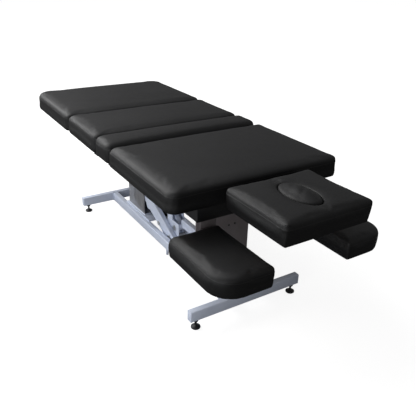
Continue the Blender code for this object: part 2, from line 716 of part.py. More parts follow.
def build_head_bracket():
    """Two support rods that slide in the back frame, joined by the hinge tube."""
    hinge = cross_bar("head_bracket", HEAD_HINGE_RADIUS, HEAD_HINGE,
                      -ROD_TUBE_Y - ROD_TUBE_RADIUS, ROD_TUBE_Y + ROD_TUBE_RADIUS)
    for side in SIDES.values():
        weld(hinge, cylinder("support_rod", ROD_TUBE_RADIUS,
                             (ROD_TUBE_START, side * ROD_TUBE_Y, HEAD_HINGE.z),
                             (HEAD_HINGE.x, side * ROD_TUBE_Y, HEAD_HINGE.z), "X"))
    finish_part(hinge, "zinc")


def build_arms():
    for name, side in SIDES.items():
        centre_y = side * ARM_CENTRE_Y
        low = Vector((ARM_START_X, centre_y - ARM_WIDTH / 2, ARM_BASE_Z))
        high = Vector((ARM_START_X + ARM_LENGTH, centre_y + ARM_WIDTH / 2,
                       ARM_BASE_Z + ARM_PAD_HEIGHT))
        corners = (ARM_CORNER,
                   ARM_OUTER_CORNER if side < 0 else ARM_CORNER,
                   ARM_OUTER_CORNER if side > 0 else ARM_CORNER,
                   ARM_CORNER)
        cushion("arm_cushion_" + name, low, high, corners, ARM_EDGE, PAD_CROWN,
                HEAD_BOARD_THICKNESS)
        base = board("arm_board_" + name, low, high, corners, HEAD_BOARD_THICKNESS)
        pivot = ARM_PIVOTS[name]
        cut(base, cylinder("arm_pivot_hole", ARM_STUB_RADIUS + RUN, pivot - Vector((0, 0, OVERRUN)),
                           pivot + Vector((0, 0, 2 * ARM_STUB_HEIGHT)), "Z"))
        build_arm_bracket(name, side, pivot)


def build_arm_bracket(name, side, pivot):
    """Folded strap from the back frame down behind the arm pad, and its foot under the pad."""
    fold = STRAP_THICKNESS
    inner_turn, outer_turn = fold * FOLD_SHARE, fold * (1 + FOLD_SHARE)
    top = FRAME_Z - GAP
    foot_top = ARM_BASE_Z - 2 * fold
    foot_low = foot_top - fold
    back, front = STRAP_X - fold / 2, STRAP_X + fold / 2
    foot_end, shelf_end = pivot.x - ARM_BOSS_RADIUS / 2, BACK_END_X - 2 * fold
    profile = round_corners(((back, foot_low, outer_turn), (foot_end, foot_low, 0),
                             (foot_end, foot_top, 0), (front, foot_top, inner_turn),
                             (front, top - fold, inner_turn), (shelf_end, top - fold, 0),
                             (shelf_end, top, 0), (back, top, outer_turn)))
    inner, outer = sorted((side * STRAP_INNER_Y, side * (STRAP_INNER_Y + STRAP_WIDTH)))
    strap = flat_piece("arm_bracket_" + name, (profile,), "XZ", inner, outer)
    boss = cylinder("arm_boss", ARM_BOSS_RADIUS, (pivot.x, pivot.y, foot_low + fold / 2),
                    (pivot.x, pivot.y, ARM_BASE_Z - GAP), "Z")
    stub = cylinder("arm_stub", ARM_STUB_RADIUS, (pivot.x, pivot.y, foot_top),
                    (pivot.x, pivot.y, ARM_BASE_Z + ARM_STUB_HEIGHT), "Z")
    weld(strap, arm_foot(side, pivot, foot_low - fold / 4, foot_top - fold / 4), boss, stub)
    finish_part(strap, "plate_paint")


def arm_foot(side, pivot, bottom, top):
    """Flat foot that widens from the strap to the boss, on the underside of the strap's fold."""
    near_y, far_y = side * (STRAP_INNER_Y + STRAP_THICKNESS), side * (STRAP_INNER_Y + STRAP_WIDTH)
    root_x = STRAP_X + ARM_BOSS_RADIUS
    reach = ARM_BOSS_RADIUS + STRAP_THICKNESS
    turn = reach * TURN_SHARE
    corners = ((root_x, near_y, 0), (pivot.x + reach, near_y, turn),
               (pivot.x + reach, pivot.y + side * reach, turn),
               (pivot.x - reach, pivot.y + side * reach, turn),
               (root_x, far_y - side * STRAP_THICKNESS, 0))
    return flat_piece("arm_foot", (round_corners(corners[::side]),), "XY", bottom, top)


def ear(name, centre, side, inner_y, foot_end):
    """Upright hinge ear: a narrow strip with a round eye on the hinge line and a wide foot."""
    x, z = centre.x, centre.z
    foot_low = BEARER_TOP_Z - EAR_FOOT
    steps = SMALL_SIDES // 2
    eye = [(x + EAR_RADIUS * math.cos(math.pi * step / steps),
            z + EAR_RADIUS * math.sin(math.pi * step / steps)) for step in range(steps + 1)]
    if foot_end < x:
        outline = [(foot_end, foot_low), (x + EAR_RADIUS, foot_low), *eye,
                   (x - EAR_RADIUS, BEARER_TOP_Z), (foot_end, BEARER_TOP_Z)]
    else:
        outline = [(x - EAR_RADIUS, foot_low), (foot_end, foot_low), (foot_end, BEARER_TOP_Z),
                   (x + EAR_RADIUS, BEARER_TOP_Z), *eye]
    hole = circle((x, z), PIN_RADIUS + RUN)
    low, high = sorted((side * inner_y, side * (inner_y + EAR_THICKNESS)))
    return flat_piece(name, ([Vector(point) for point in outline], hole), "XZ", low, high)


def bearer(name, edge_x, far_x, outer_y, bottom):
    """Cross bar that carries the boards and the hinge ears; its underside rises to thin ends."""
    low, high = sorted((edge_x, far_x))
    thin = BEARER_TOP_Z - EAR_FOOT
    outline = ((-outer_y, thin), (-BEARER_TAPER_Y, bottom), (BEARER_TAPER_Y, bottom),
               (outer_y, thin), (outer_y, BEARER_TOP_Z), (-outer_y, BEARER_TOP_Z))
    return flat_piece(name, ([Vector(point) for point in outline],), "YZ", low, high)


def build_upper_frame():
    """Fixed frame under the top: two long tubes, cross tubes and the two seat bearers."""
    frame = frame_tube("upper_frame", -1)
    weld(frame, frame_tube("long_tube", 1))
    inner = FRAME_CENTRE_Y
    half = FRAME_TUBE / 2
    cross_places = (FRAME_LEG_END + half, BOX_CENTRE_X, POST_X, HEAD_PLATE_X + HEAD_PLATE_THICKNESS / 2,
                    FRAME_HEAD_END - half)
    for place in cross_places:
        weld(frame, box("cross_tube", (place - half, -inner, FRAME_Z),
                        (place + half, inner, FRAME_TOP_Z)))
    for hinge, away in ((BACK_HINGE, -1), (THIGH_HINGE, 1)):
        near_x = hinge.x + away * BEARER_OFFSET
        far_x = near_x + away * BEARER_WIDTH
        weld(frame, bearer("seat_bearer", near_x, far_x, FIXED_EAR_Y + EAR_THICKNESS / 2,
                           FRAME_TOP_Z - CROSS_CLEAR))
        for side in SIDES.values():
            weld(frame, ear("fixed_ear", hinge, side, FIXED_EAR_Y, far_x))
    finish_part(frame, "black_paint")


def frame_tube(name, side):
    low, high = sorted((side * (FRAME_CENTRE_Y - FRAME_TUBE / 2),
                        side * (FRAME_CENTRE_Y + FRAME_TUBE / 2)))
    return box(name, (FRAME_LEG_END, low, FRAME_Z), (FRAME_HEAD_END, high, FRAME_TOP_Z))


def side_tube(name, side, outer_y, start, end, bottom):
    low, high = sorted((side * outer_y, side * (outer_y - BACK_TUBE_WIDTH)))
    return box(name, (start, low, bottom), (end, high, BEARER_TOP_Z))


def moving_bearer(name, hinge, away):
    """Cross bar of a tilting section next to its hinge line, wide enough for the outer ears."""
    near_x = hinge.x + away * MOVING_BEARER_OFFSET
    return bearer(name, near_x, near_x + away * BEARER_WIDTH, EAR_OUTER_Y - EAR_THICKNESS / 2,
                  SECTION_Z)


def add_moving_ears(frame, hinge, away):
    far_x = hinge.x + away * (MOVING_BEARER_OFFSET + BEARER_WIDTH)
    for side in SIDES.values():
        weld(frame, ear("moving_ear", hinge, side, FIXED_EAR_Y + EAR_THICKNESS + EAR_GAP, far_x))


def add_strut_lugs(frame, pin, away):
    """Cross bar, two lugs and the pin that the gas strut's rod is held by."""
    bar_near = pin.x + away * STRUT_BAR_CLEAR
    bar_far = bar_near + away * STRUT_BAR_WIDTH
    low, high = sorted((bar_near, bar_far))
    weld(frame, box("strut_bar", (low, -BACK_TUBE_OUTER_Y + BACK_TUBE_WIDTH, SECTION_Z),
                    (high, BACK_TUBE_OUTER_Y - BACK_TUBE_WIDTH, BEARER_TOP_Z)))
    inner, outer = STRUT_HALF_WIDTH + STRUT_END_PLAY, STRUT_HALF_WIDTH + STRUT_END_PLAY + STRUT_EAR
    for side in SIDES.values():
        low_y, high_y = sorted((side * inner, side * outer))
        outline = stadium((pin.x, pin.z), ((bar_near + bar_far) / 2, KNEE_Z), STRUT_EYE_RADIUS)
        weld(frame, flat_piece("strut_lug", (outline,), "XZ", low_y, high_y))
    weld(frame, cross_bar("strut_pin", STRUT_PIN_RADIUS, pin, -outer - EAR_GAP, outer + EAR_GAP,
                          SMALL_SIDES))



def build_back_frame():
    frame = moving_bearer("back_frame", BACK_HINGE, 1)
    start = BACK_X + MOVING_BEARER_OFFSET
    plate_start = BACK_END_X - BACK_TUBE_WIDTH
    for side in SIDES.values():
        weld(frame, side_tube("side_tube", side, BACK_TUBE_OUTER_Y, start, BACK_END_X - OVERRUN / 2,
                              FRAME_Z))
    inner = BACK_TUBE_OUTER_Y - BACK_TUBE_WIDTH / 2
    weld(frame, box("end_bar", (plate_start, -inner, FRAME_Z),
                    (BACK_END_X - OVERRUN / 2, inner, BEARER_TOP_Z)))
    weld(frame, box("guide_bar", (GUIDE_X - GUIDE_WIDTH / 2, -inner, SECTION_Z),
                    (GUIDE_X + GUIDE_WIDTH / 2, inner, BEARER_TOP_Z)))
    add_moving_ears(frame, BACK_HINGE, 1)
    add_strut_lugs(frame, BACK_STRUT_HIGH, 1)
    for side in SIDES.values():
        cut(frame, cylinder("rod_guide", ROD_TUBE_RADIUS + RUN,
                            (GUIDE_X - GUIDE_WIDTH, side * ROD_TUBE_Y, HEAD_HINGE.z),
                            (BACK_END_X + OVERRUN, side * ROD_TUBE_Y, HEAD_HINGE.z), "X"))
    finish_part(frame, "black_paint")


def build_thigh_frame():
    frame = moving_bearer("thigh_frame", THIGH_HINGE, -1)
    inner = SECTION_TUBE_OUTER_Y - BACK_TUBE_WIDTH / 2
    bar_start = KNEE_X + KNEE_BAR_OFFSET
    for side in SIDES.values():
        weld(frame, side_tube("side_tube", side, SECTION_TUBE_OUTER_Y, bar_start,
                              THIGH_X - MOVING_BEARER_OFFSET, SECTION_Z))
    weld(frame, box("knee_bar", (bar_start, -inner, SECTION_Z),
                    (bar_start + BEARER_WIDTH, inner, BEARER_TOP_Z)))
    add_moving_ears(frame, THIGH_HINGE, -1)
    add_strut_lugs(frame, THIGH_STRUT_HIGH, -1)
    add_knuckles(frame, bar_start + BEARER_WIDTH / 2, KNUCKLE_INNER_Y)
    finish_part(frame, "black_paint")


def build_leg_frame():
    """Leg section frame; its round cross tube glides on the fixed frame when the knee rises."""
    bar_end = KNEE_X - KNEE_BAR_OFFSET
    inner = SECTION_TUBE_OUTER_Y - BACK_TUBE_WIDTH / 2
    foot_end = LEG_END_X + BOARD_INSET + BACK_TUBE_WIDTH / 2
    frame = box("leg_frame", (bar_end - BEARER_WIDTH, -inner, SECTION_Z),
                (bar_end, inner, BEARER_TOP_Z))
    for side in SIDES.values():
        weld(frame, side_tube("side_tube", side, SECTION_TUBE_OUTER_Y, foot_end, bar_end,
                              SECTION_Z))
    weld(frame, box("foot_bar", (foot_end, -inner, SECTION_Z),
                    (foot_end + BEARER_WIDTH, inner, BEARER_TOP_Z)))
    glide_radius = SECTION_HEIGHT / 2 - GLIDE_INSET
    weld(frame, cross_bar("glide_tube", glide_radius, (KNEE_X - GLIDE_DISTANCE, 0, KNEE_Z),
                          -inner, inner))
    add_knuckles(frame, bar_end - BEARER_WIDTH / 2, KNUCKLE_INNER_Y + KNUCKLE_WIDTH + EAR_GAP)
    finish_part(frame, "black_paint")


def add_knuckles(frame, bar_x, inner_y):
    """Straps from a cross bar to the knee line, each ending in a knuckle round the pin."""
    for side in SIDES.values():
        low, high = sorted((side * inner_y, side * (inner_y + KNUCKLE_WIDTH)))
        outline = stadium((KNEE_X, KNEE_Z), (bar_x, KNEE_Z), KNUCKLE_RADIUS)
        hole = circle((KNEE_X, KNEE_Z), KNEE_PIN_RADIUS + RUN)
        weld(frame, flat_piece("knuckle", (outline, hole), "XZ", low, high))


def build_hinge_pins():
    """Headed pins through the ears, one on each side of a tilting section, and the knee pins."""
    for hinge_name, hinge in (("back", BACK_HINGE), ("thigh", THIGH_HINGE)):
        for name, side in SIDES.items():
            ends = (FIXED_EAR_Y - GAP, EAR_OUTER_Y + GAP)
            headed_pin(f"{hinge_name}_pin_{name}", hinge, side, ends, PIN_RADIUS,
                       PIN_HEAD_RADIUS, PIN_HEAD)
    for name, side in SIDES.items():
        ends = (KNUCKLE_INNER_Y - GAP, KNUCKLE_INNER_Y + 2 * KNUCKLE_WIDTH + EAR_GAP + GAP)
        headed_pin(f"knee_pin_{name}", KNEE_HINGE, side, ends, KNEE_PIN_RADIUS,
                   KNUCKLE_RADIUS - EAR_THICKNESS, EAR_THICKNESS)


def headed_pin(name, centre, side, ends, radius, head_radius, head):
    """Pin across the table with a flat head past each end of what it holds."""
    inner, outer = ends
    low, high = sorted((side * (inner - head), side * (outer + head)))
    pin = cross_bar(name, radius, centre, low, high, SMALL_SIDES)
    for start, end in ((inner - head, inner), (outer, outer + head)):
        low, high = sorted((side * start, side * end))
        weld(pin, cross_bar("pin_head", head_radius, centre, low, high, SMALL_SIDES))
    return finish_part(pin, "zinc")


def build_base():
    for name, place in (("head", HEAD_BAR_X), ("leg", LEG_BAR_X)):
        build_crossbar(name, place)
    half = CROSSBAR_SPACING / 2 - TUBE_WIDTH / 2 - GAP
    for name, side in SIDES.items():
        centre_y = side * RAIL_CENTRE_Y
        rail = tube("rail_" + name, (BASE_CENTRE_X - half, centre_y - TUBE_WIDTH / 2, TUBE_CLEARANCE),
                    (BASE_CENTRE_X + half, centre_y + TUBE_WIDTH / 2, TUBE_TOP), "X", TUBE_WALL,
                    TUBE_CORNER)
        stub_x = HEAD_BAR_X - GLIDE_STUB_FROM_HEAD
        weld(rail, cylinder("glide_stub", GLIDE_STUB_RADIUS, (stub_x, centre_y, GLIDE_STUB_CLEARANCE),
                            (stub_x, centre_y, TUBE_CLEARANCE + TUBE_WALL / 2), "Z", SMALL_SIDES))
        finish_part(rail, "base_paint")


def build_crossbar(name, place):
    """Cross tube with closed ends and a threaded hole for a levelling foot near each end."""
    half = CROSSBAR_LENGTH / 2
    low = (place - TUBE_WIDTH / 2, -half, TUBE_CLEARANCE)
    high = (place + TUBE_WIDTH / 2, half, TUBE_TOP)
    outline = rectangle((low[0], low[2]), (high[0], high[2]), TUBE_CORNER)
    bar = flat_piece(name + "_crossbar", (outline,), "XZ", -half, half)
    cut(bar, box("crossbar_hollow", [value + TUBE_WALL for value in low],
                 [value - TUBE_WALL for value in high]))
    for side_name, side in SIDES.items():
        foot_y = side * (half - FOOT_INSET)
        cut(bar, cylinder("foot_hole", STEM_RADIUS + RUN, (place, foot_y, TUBE_CLEARANCE - OVERRUN),
                          (place, foot_y, TUBE_CLEARANCE + 2 * TUBE_WALL), "Z", SMALL_SIDES))
        build_foot(f"foot_{name}_{side_name}", place, foot_y)
    finish_part(bar, "base_paint")


def build_foot(name, x, y):
    """Levelling foot: screw stem, lock nut and a wide pad with a rounded rim."""
    nut_top = TUBE_CLEARANCE - GAP
    nut_low = nut_top - NUT_HEIGHT
    rim = FOOT_PAD / 3
    profile = [(0, STEM_TOP), (STEM_RADIUS, STEM_TOP), (STEM_RADIUS, nut_top),
               (NUT_RADIUS, nut_top), (NUT_RADIUS, nut_low),
               (STEM_RADIUS, nut_low), (STEM_RADIUS, 2 * FOOT_PAD),
               (FOOT_RADIUS - 2 * rim, FOOT_PAD + rim), (FOOT_RADIUS, FOOT_PAD),
               (FOOT_RADIUS, rim), (FOOT_RADIUS - rim, 0), (0, 0)]
    foot = turned(name, profile, (x, y, 0), sides=ROUND_SIDES)
    finish_part(foot, "black_plastic")


def build_column():
    """Folded steel channel, open to the head end, with its upper front corner cut back."""
    half = COLUMN_WIDTH / 2
    front_x = COLUMN_BACK_X + COLUMN_DEPTH
    wall, bend = COLUMN_WALL, COLUMN_BEND
    outline = round_corners(((front_x, -half, 0), (front_x, -half + wall, 0),
                             (COLUMN_BACK_X + wall, -half + wall, bend - wall),
                             (COLUMN_BACK_X + wall, half - wall, bend - wall),
                             (front_x, half - wall, 0), (front_x, half, 0),
                             (COLUMN_BACK_X, half, bend), (COLUMN_BACK_X, -half, bend)))
    column = flat_piece("column", (outline,), "XY", COLUMN_BOTTOM, COLUMN_TOP)
    slant = [Vector((front_x + OVERRUN, COLUMN_TOP + OVERRUN)),
             Vector((front_x + OVERRUN, COLUMN_TOP - COLUMN_SLANT_Z)),
             Vector((front_x, COLUMN_TOP - COLUMN_SLANT_Z)),
             Vector((front_x - COLUMN_SLANT_X, COLUMN_TOP)),
             Vector((front_x - COLUMN_SLANT_X, COLUMN_TOP + OVERRUN))]
    cut(column, flat_piece("column_slant", (slant,), "XZ", -half - OVERRUN, half + OVERRUN))
    for pivot in (LOWER_BASE, UPPER_BASE):
        cut(column, cross_bar("column_bore", SHAFT_RADIUS + RUN, pivot, -half - OVERRUN,
                              half + OVERRUN))
    finish_part(column, "column_paint")


def build_base_plate():
    """Plate across the rails that carries the column and the actuator's clevis."""
    start = COLUMN_BACK_X - PLATE_BACK
    plate = box("base_plate", (start, -PLATE_WIDTH / 2, PLATE_BOTTOM),
                (start + PLATE_LENGTH, PLATE_WIDTH / 2, PLATE_TOP))
    inner = EYE_HALF_WIDTH + STRUT_END_PLAY
    for side in SIDES.values():
        low, high = sorted((side * inner, side * (inner + CLEVIS_THICKNESS)))
        x, z = ACTUATOR_BASE.x, ACTUATOR_BASE.z
        radius = EYE_RADIUS - STRUT_END_PLAY
        root = PLATE_TOP - PLATE_THICKNESS / 2
        outline = round_corners(((x - radius, root, 0), (x + radius, root, 0),
                                 (x + radius, z + radius, radius / 2),
                                 (x - radius, z + radius, radius / 2)))
        weld(plate, flat_piece("clevis_ear", (outline, circle((x, z), BASE_PIN_RADIUS + RUN)),
                               "XZ", low, high))
    finish_part(plate, "base_paint")


def link_tube(name, pivot, span, height, end, bores):
    """Rectangular link tube over the y span, with a bush round each of its bores.

    bores holds (place, bush radius, bush end y low, bush end y high, shaft radius).
    """
    low, high = span
    item = tube(name, (-end, low, -height / 2), (LINK_LENGTH + end, high, height / 2), "X",
                LINK_WALL, LINK_CORNER)
    turn = Matrix.Rotation(LINK_REST_ANGLE, 4, "Y")
    item.matrix_world = Matrix.Translation(pivot) @ turn @ Matrix.Translation(item.location)
    for place, bush, bush_low, bush_high, _ in bores:
        weld(item, cross_bar("bush", bush, place, bush_low, bush_high))
    for place, _, bush_low, bush_high, hole in bores:
        cut(item, cross_bar("bore", hole + RUN, place, bush_low - OVERRUN, bush_high + OVERRUN))
    return item


def lower_link(name, side):
    """Outer link with a lug for the tie tube and a bore for the actuator's upper pin."""
    low, high = sorted((side * LINK_INNER_Y, side * LINK_OUTER_Y))
    skin = LINK_WALL / 2
    bushes = ((LOWER_BASE, BUSH_RADIUS, SHAFT_RADIUS), (LOWER_HEAD, BUSH_RADIUS, SHAFT_RADIUS),
              (ACTUATOR_TOP, TOP_PIN_RADIUS + LINK_WALL, TOP_PIN_RADIUS))
    bores = [(place, bush, low + skin, high - skin, hole) for place, bush, hole in bushes]
    item = link_tube(name, LOWER_BASE, (low, high), LINK_HEIGHT, LINK_END, bores)
    weld(item, cross_bar("tie_lug", LUG_RADIUS, LUG_CENTRE, low, high))
    finish_part(item, "base_paint")


def upper_link():
    """Middle link; its sleeves reach the column walls at one end and the cheeks at the other."""
    half = UPPER_LINK_WIDTH / 2
    column_reach = COLUMN_WIDTH / 2 - COLUMN_WALL - EAR_GAP
    cheek_reach = CHEEK_OUTER_Y - CHEEK_THICKNESS - EAR_GAP
    bores = [(UPPER_BASE, HUB_RADIUS, -column_reach, column_reach, SHAFT_RADIUS),
             (UPPER_HEAD, HUB_RADIUS, -cheek_reach, cheek_reach, SHAFT_RADIUS)]
    item = link_tube("upper_link", UPPER_BASE, (-half, half), UPPER_LINK_HEIGHT, UPPER_LINK_END,
                     bores)
    finish_part(item, "base_paint")


def shaft(name, centre, half_length, radius, head_radius, head):
    """Cross shaft with a flat head at each end."""
    item = cross_bar(name, radius, centre, -half_length - head, half_length + head)
    for side in SIDES.values():
        low, high = sorted((side * half_length, side * (half_length + head)))
        weld(item, cross_bar("shaft_head", head_radius, centre, low, high))
    return finish_part(item, "zinc")


def build_lift():
    for name, side in SIDES.items():
        lower_link("lower_link_" + name, side)
    upper_link()
    tie = cross_bar("lower_tie_tube", TIE_RADIUS, LUG_CENTRE, GAP - LINK_INNER_Y,
                    LINK_INNER_Y - GAP)
    finish_part(tie, "base_paint")
    for name, centre in (("lower_column_shaft", LOWER_BASE), ("upper_column_shaft", UPPER_BASE)):
        shaft(name, centre, COLUMN_WIDTH / 2 + GAP, SHAFT_RADIUS, SHAFT_HEAD_RADIUS, SHAFT_HEAD)
    for name, centre, reach in (("lower_carriage_shaft", LOWER_HEAD, LINK_OUTER_Y),
                                ("upper_carriage_shaft", UPPER_HEAD, CHEEK_OUTER_Y)):
        shaft(name, centre, reach + GAP, SHAFT_RADIUS, SHAFT_HEAD_RADIUS, SHAFT_HEAD)
    shaft("actuator_top_pin", ACTUATOR_TOP, LINK_OUTER_Y + GAP, TOP_PIN_RADIUS, BUSH_RADIUS * HEAD_SHARE,
          SHAFT_HEAD)


def build_carriage():
    """Two cheeks on the links' head pivots, the box beam in front of them and the centre post."""
    ear_low = LOWER_HEAD.z - CHEEK_EAR
    turn = CHEEK_EAR * TURN_SHARE
    start_x, neck_x, back_x = POST_X + BEAM_START, POST_X - CHEEK_NECK, POST_X - CHEEK_BACK
    front_x = start_x + BEAM_SEAT
    corners = ((LOWER_HEAD.x - CHEEK_EAR, ear_low, turn), (LOWER_HEAD.x + CHEEK_EAR, ear_low, turn),
               (front_x, CHEEK_FRONT_Z, CHEEK_FILLET), (front_x, CHEEK_STEP_Z, CHEEK_FILLET),
               (neck_x, CHEEK_STEP_Z, CHEEK_FILLET), (neck_x, CHEEK_TOP, 0),
               (back_x, CHEEK_TOP, 0), (back_x, CHEEK_BACK_Z, turn))
    frame = None
    for side in SIDES.values():
        low, high = sorted((side * (CHEEK_OUTER_Y - CHEEK_THICKNESS), side * CHEEK_OUTER_Y))
        holes = [circle((place.x, place.z), SHAFT_RADIUS + RUN, ROUND_SIDES)
                 for place in (LOWER_HEAD, UPPER_HEAD)]
        cheek = flat_piece("carriage_frame" if frame is None else "cheek",
                           (round_corners(corners), *holes), "XZ", low, high)
        frame = weld(frame, cheek) if frame else cheek
    core = CHEEK_OUTER_Y - CHEEK_THICKNESS / 2
    beam = tube("beam", (start_x + BEAM_SEAT / 4, -BEAM_WIDTH / 2, BEAM_BOTTOM),
                (HEAD_PLATE_X - GAP, BEAM_WIDTH / 2, BEAM_BOTTOM + BEAM_HEIGHT), "X",
                BEAM_WALL, BEAM_CORNER)
    cap_y, cap_z = BEAM_WIDTH / 2 - BEAM_WALL / 2, BEAM_BOTTOM + BEAM_WALL / 2
    cap = box("beam_cap", (start_x + BEAM_SEAT / 8, -cap_y, cap_z),
              (front_x + BEAM_WALL, cap_y, BEAM_BOTTOM + BEAM_HEIGHT - BEAM_WALL / 2))
    seat = box("beam_seat", (start_x, -core, BEAM_BOTTOM - BEAM_SEAT),
               (front_x - GAP, core, CHEEK_STEP_Z - CHEEK_FILLET))
    weld(frame, seat, cap, beam)
    add_post(frame)
    add_fixed_strut_ears(frame)
    finish_part(frame, "base_paint")


def add_post(frame):
    """Square post from the cheeks up to the fixed frame, with a flange under its cross tube."""
    half = POST_SIZE / 2
    top = FRAME_Z - GAP
    seat = CHEEK_OUTER_Y - CHEEK_THICKNESS / 2
    weld(frame, box("post_seat", (POST_X - CHEEK_BACK + CHEEK_THICKNESS / 2, -seat,
                                  CHEEK_TOP - POST_SEAT),
                    (POST_X + half + CHEEK_THICKNESS / 2, seat, CHEEK_TOP + GAP)))
    weld(frame, box("post", (POST_X - half, -half, CHEEK_TOP - POST_SEAT / 2),
                    (POST_X + half, half, top - POST_FLANGE_THICKNESS / 2)))
    flange = POST_FLANGE / 2
    weld(frame, box("post_flange", (POST_X - flange, -flange, top - POST_FLANGE_THICKNESS),
                    (POST_X + flange, flange, top)))


def add_fixed_strut_ears(frame):
    """Ears and pins on both faces of the post for the lower ends of the gas struts."""
    inner = STRUT_HALF_WIDTH + STRUT_END_PLAY
    outer = inner + STRUT_EAR
    for pin in (BACK_STRUT_LOW, THIGH_STRUT_LOW):
        for side in SIDES.values():
            low, high = sorted((side * inner, side * outer))
            outline = stadium((POST_X, pin.z), (pin.x, pin.z), STRUT_EYE_RADIUS)
            weld(frame, flat_piece("post_ear", (outline,), "XZ", low, high))
        weld(frame, cross_bar("post_pin", STRUT_PIN_RADIUS, pin, -outer - EAR_GAP, outer + EAR_GAP,
                              SMALL_SIDES))


def build_head_plate():
    """Upright plate at the end of the carriage beam that carries the head end of the frame."""
    half = HEAD_PLATE_WIDTH / 2
    plate = flat_piece("head_plate", (rectangle((-half, HEAD_PLATE_BOTTOM), (half, FRAME_Z - GAP),
                                                HEAD_PLATE_THICKNESS),),
                       "YZ", HEAD_PLATE_X, HEAD_PLATE_X + HEAD_PLATE_THICKNESS)
    finish_part(plate, "plate_paint")


def along_line(item, start, end):
    """Turns a piece modelled along +X from the origin so that it runs from start towards end."""
    direction = end - start
    angle = math.atan2(-direction.z, direction.x)
    item.matrix_world = (Matrix.Translation(start) @ Matrix.Rotation(angle, 4, "Y")
                         @ Matrix.Translation(item.location))
    return item


def build_actuator():
    start, end = ACTUATOR_BASE, ACTUATOR_TOP
    length = (end - start).length
    pieces = [flat_piece("actuator_housing", (stadium((0, 0), (HOUSING_START + EYE_RADIUS, 0),
                                                      EYE_RADIUS),
                                              circle((0, 0), BASE_PIN_RADIUS + RUN)),
                         "XZ", -EYE_HALF_WIDTH, EYE_HALF_WIDTH),
              gearbox_block(), *housing_tubes()]
    for piece in pieces:
        along_line(piece, start, end)
    housing = weld(pieces[0], *pieces[1:])
    bore = cylinder("housing_bore", ROD_RADIUS + RUN, (BORE_START, 0, 0),
                    (HOUSING_END + OVERRUN, 0, 0), "X")
    cut(housing, along_line(bore, start, end))
    finish_part(housing, "black_plastic")
    rod = flat_piece("actuator_rod", (circle((length, 0), TOP_EYE_RADIUS, ROUND_SIDES),
                                      circle((length, 0), TOP_PIN_RADIUS + TOP_PIN_PLAY)),
                     "XZ", -EYE_HALF_WIDTH, EYE_HALF_WIDTH)
    bar_end = length - (TOP_EYE_RADIUS + TOP_PIN_RADIUS + TOP_PIN_PLAY) / 2
    bar = cylinder("rod_bar", ROD_RADIUS, (ROD_START, 0, 0), (bar_end, 0, 0), "X")
    weld(along_line(rod, start, end), along_line(bar, start, end))
    finish_part(rod, "zinc")
    pin_reach = EYE_HALF_WIDTH + STRUT_END_PLAY + CLEVIS_THICKNESS + GAP
    shaft("actuator_base_pin", start, pin_reach, BASE_PIN_RADIUS, EYE_RADIUS * HEAD_SHARE, SHAFT_HEAD)


def gearbox_block():
    """Gear casing at the rear of the actuator, between the tube and the motor above it."""
    reach = GEARBOX_HALF_WIDTH
    outline = round_corners(((-reach, -reach, reach / 2), (reach, -reach, reach / 2),
                             (reach, MOTOR_OFFSET + reach, reach * TURN_SHARE),
                             (-reach, MOTOR_OFFSET + reach, reach * TURN_SHARE)))
    return flat_piece("gearbox", (outline,), "YZ", HOUSING_START, HOUSING_START + GEARBOX_LENGTH)


def housing_tubes():
    gear_middle = HOUSING_START + GEARBOX_LENGTH / 2
    outer = cylinder("housing_tube", HOUSING_RADIUS, (gear_middle, 0, 0), (HOUSING_END, 0, 0), "X")
    motor = cylinder("motor", MOTOR_RADIUS, (gear_middle, 0, MOTOR_OFFSET),
                     (HOUSING_START + GEARBOX_LENGTH + MOTOR_LENGTH, 0, MOTOR_OFFSET), "X")
    return outer, motor


def build_strut(name, start, end, play, slot):
    """Gas strut: a closed-end tube with an eye, and a rod whose eye has the open pivot's play."""
    length = (end - start).length
    tube_end = length - STRUT_END_GAP
    hole = circle((0, 0), STRUT_PIN_RADIUS + RUN)
    body = flat_piece(name + "_cylinder", (stadium((0, 0), (2 * STRUT_EYE_RADIUS, 0),
                                                   STRUT_EYE_RADIUS), hole),
                      "XZ", -STRUT_HALF_WIDTH, STRUT_HALF_WIDTH)
    barrel = cylinder("barrel", STRUT_RADIUS, (STRUT_EYE_RADIUS + STRUT_WALL, 0, 0),
                      (tube_end, 0, 0), "X")
    bore_start = 2 * STRUT_EYE_RADIUS + STRUT_WALL
    bore = cylinder("barrel_bore", STRUT_ROD_RADIUS + RUN, (bore_start, 0, 0),
                    (tube_end + OVERRUN, 0, 0), "X", SMALL_SIDES)
    weld(along_line(body, start, end), along_line(barrel, start, end))
    cut(body, along_line(bore, start, end))
    finish_part(body, "black_plastic")
    inner = STRUT_PIN_RADIUS + play
    rod = flat_piece(name + "_rod", (stadium((length - slot, 0), (length + slot, 0),
                                             STRUT_EYE_RADIUS),
                                     stadium((length - slot, 0), (length + slot, 0), inner)),
                     "XZ", -STRUT_HALF_WIDTH, STRUT_HALF_WIDTH)
    bar = cylinder("strut_bar", STRUT_ROD_RADIUS, (bore_start + STRUT_WALL, 0, 0),
                   (length - slot - (STRUT_EYE_RADIUS + inner) / 2, 0, 0), "X", SMALL_SIDES)
    weld(along_line(rod, start, end), along_line(bar, start, end))
    finish_part(rod, "zinc")


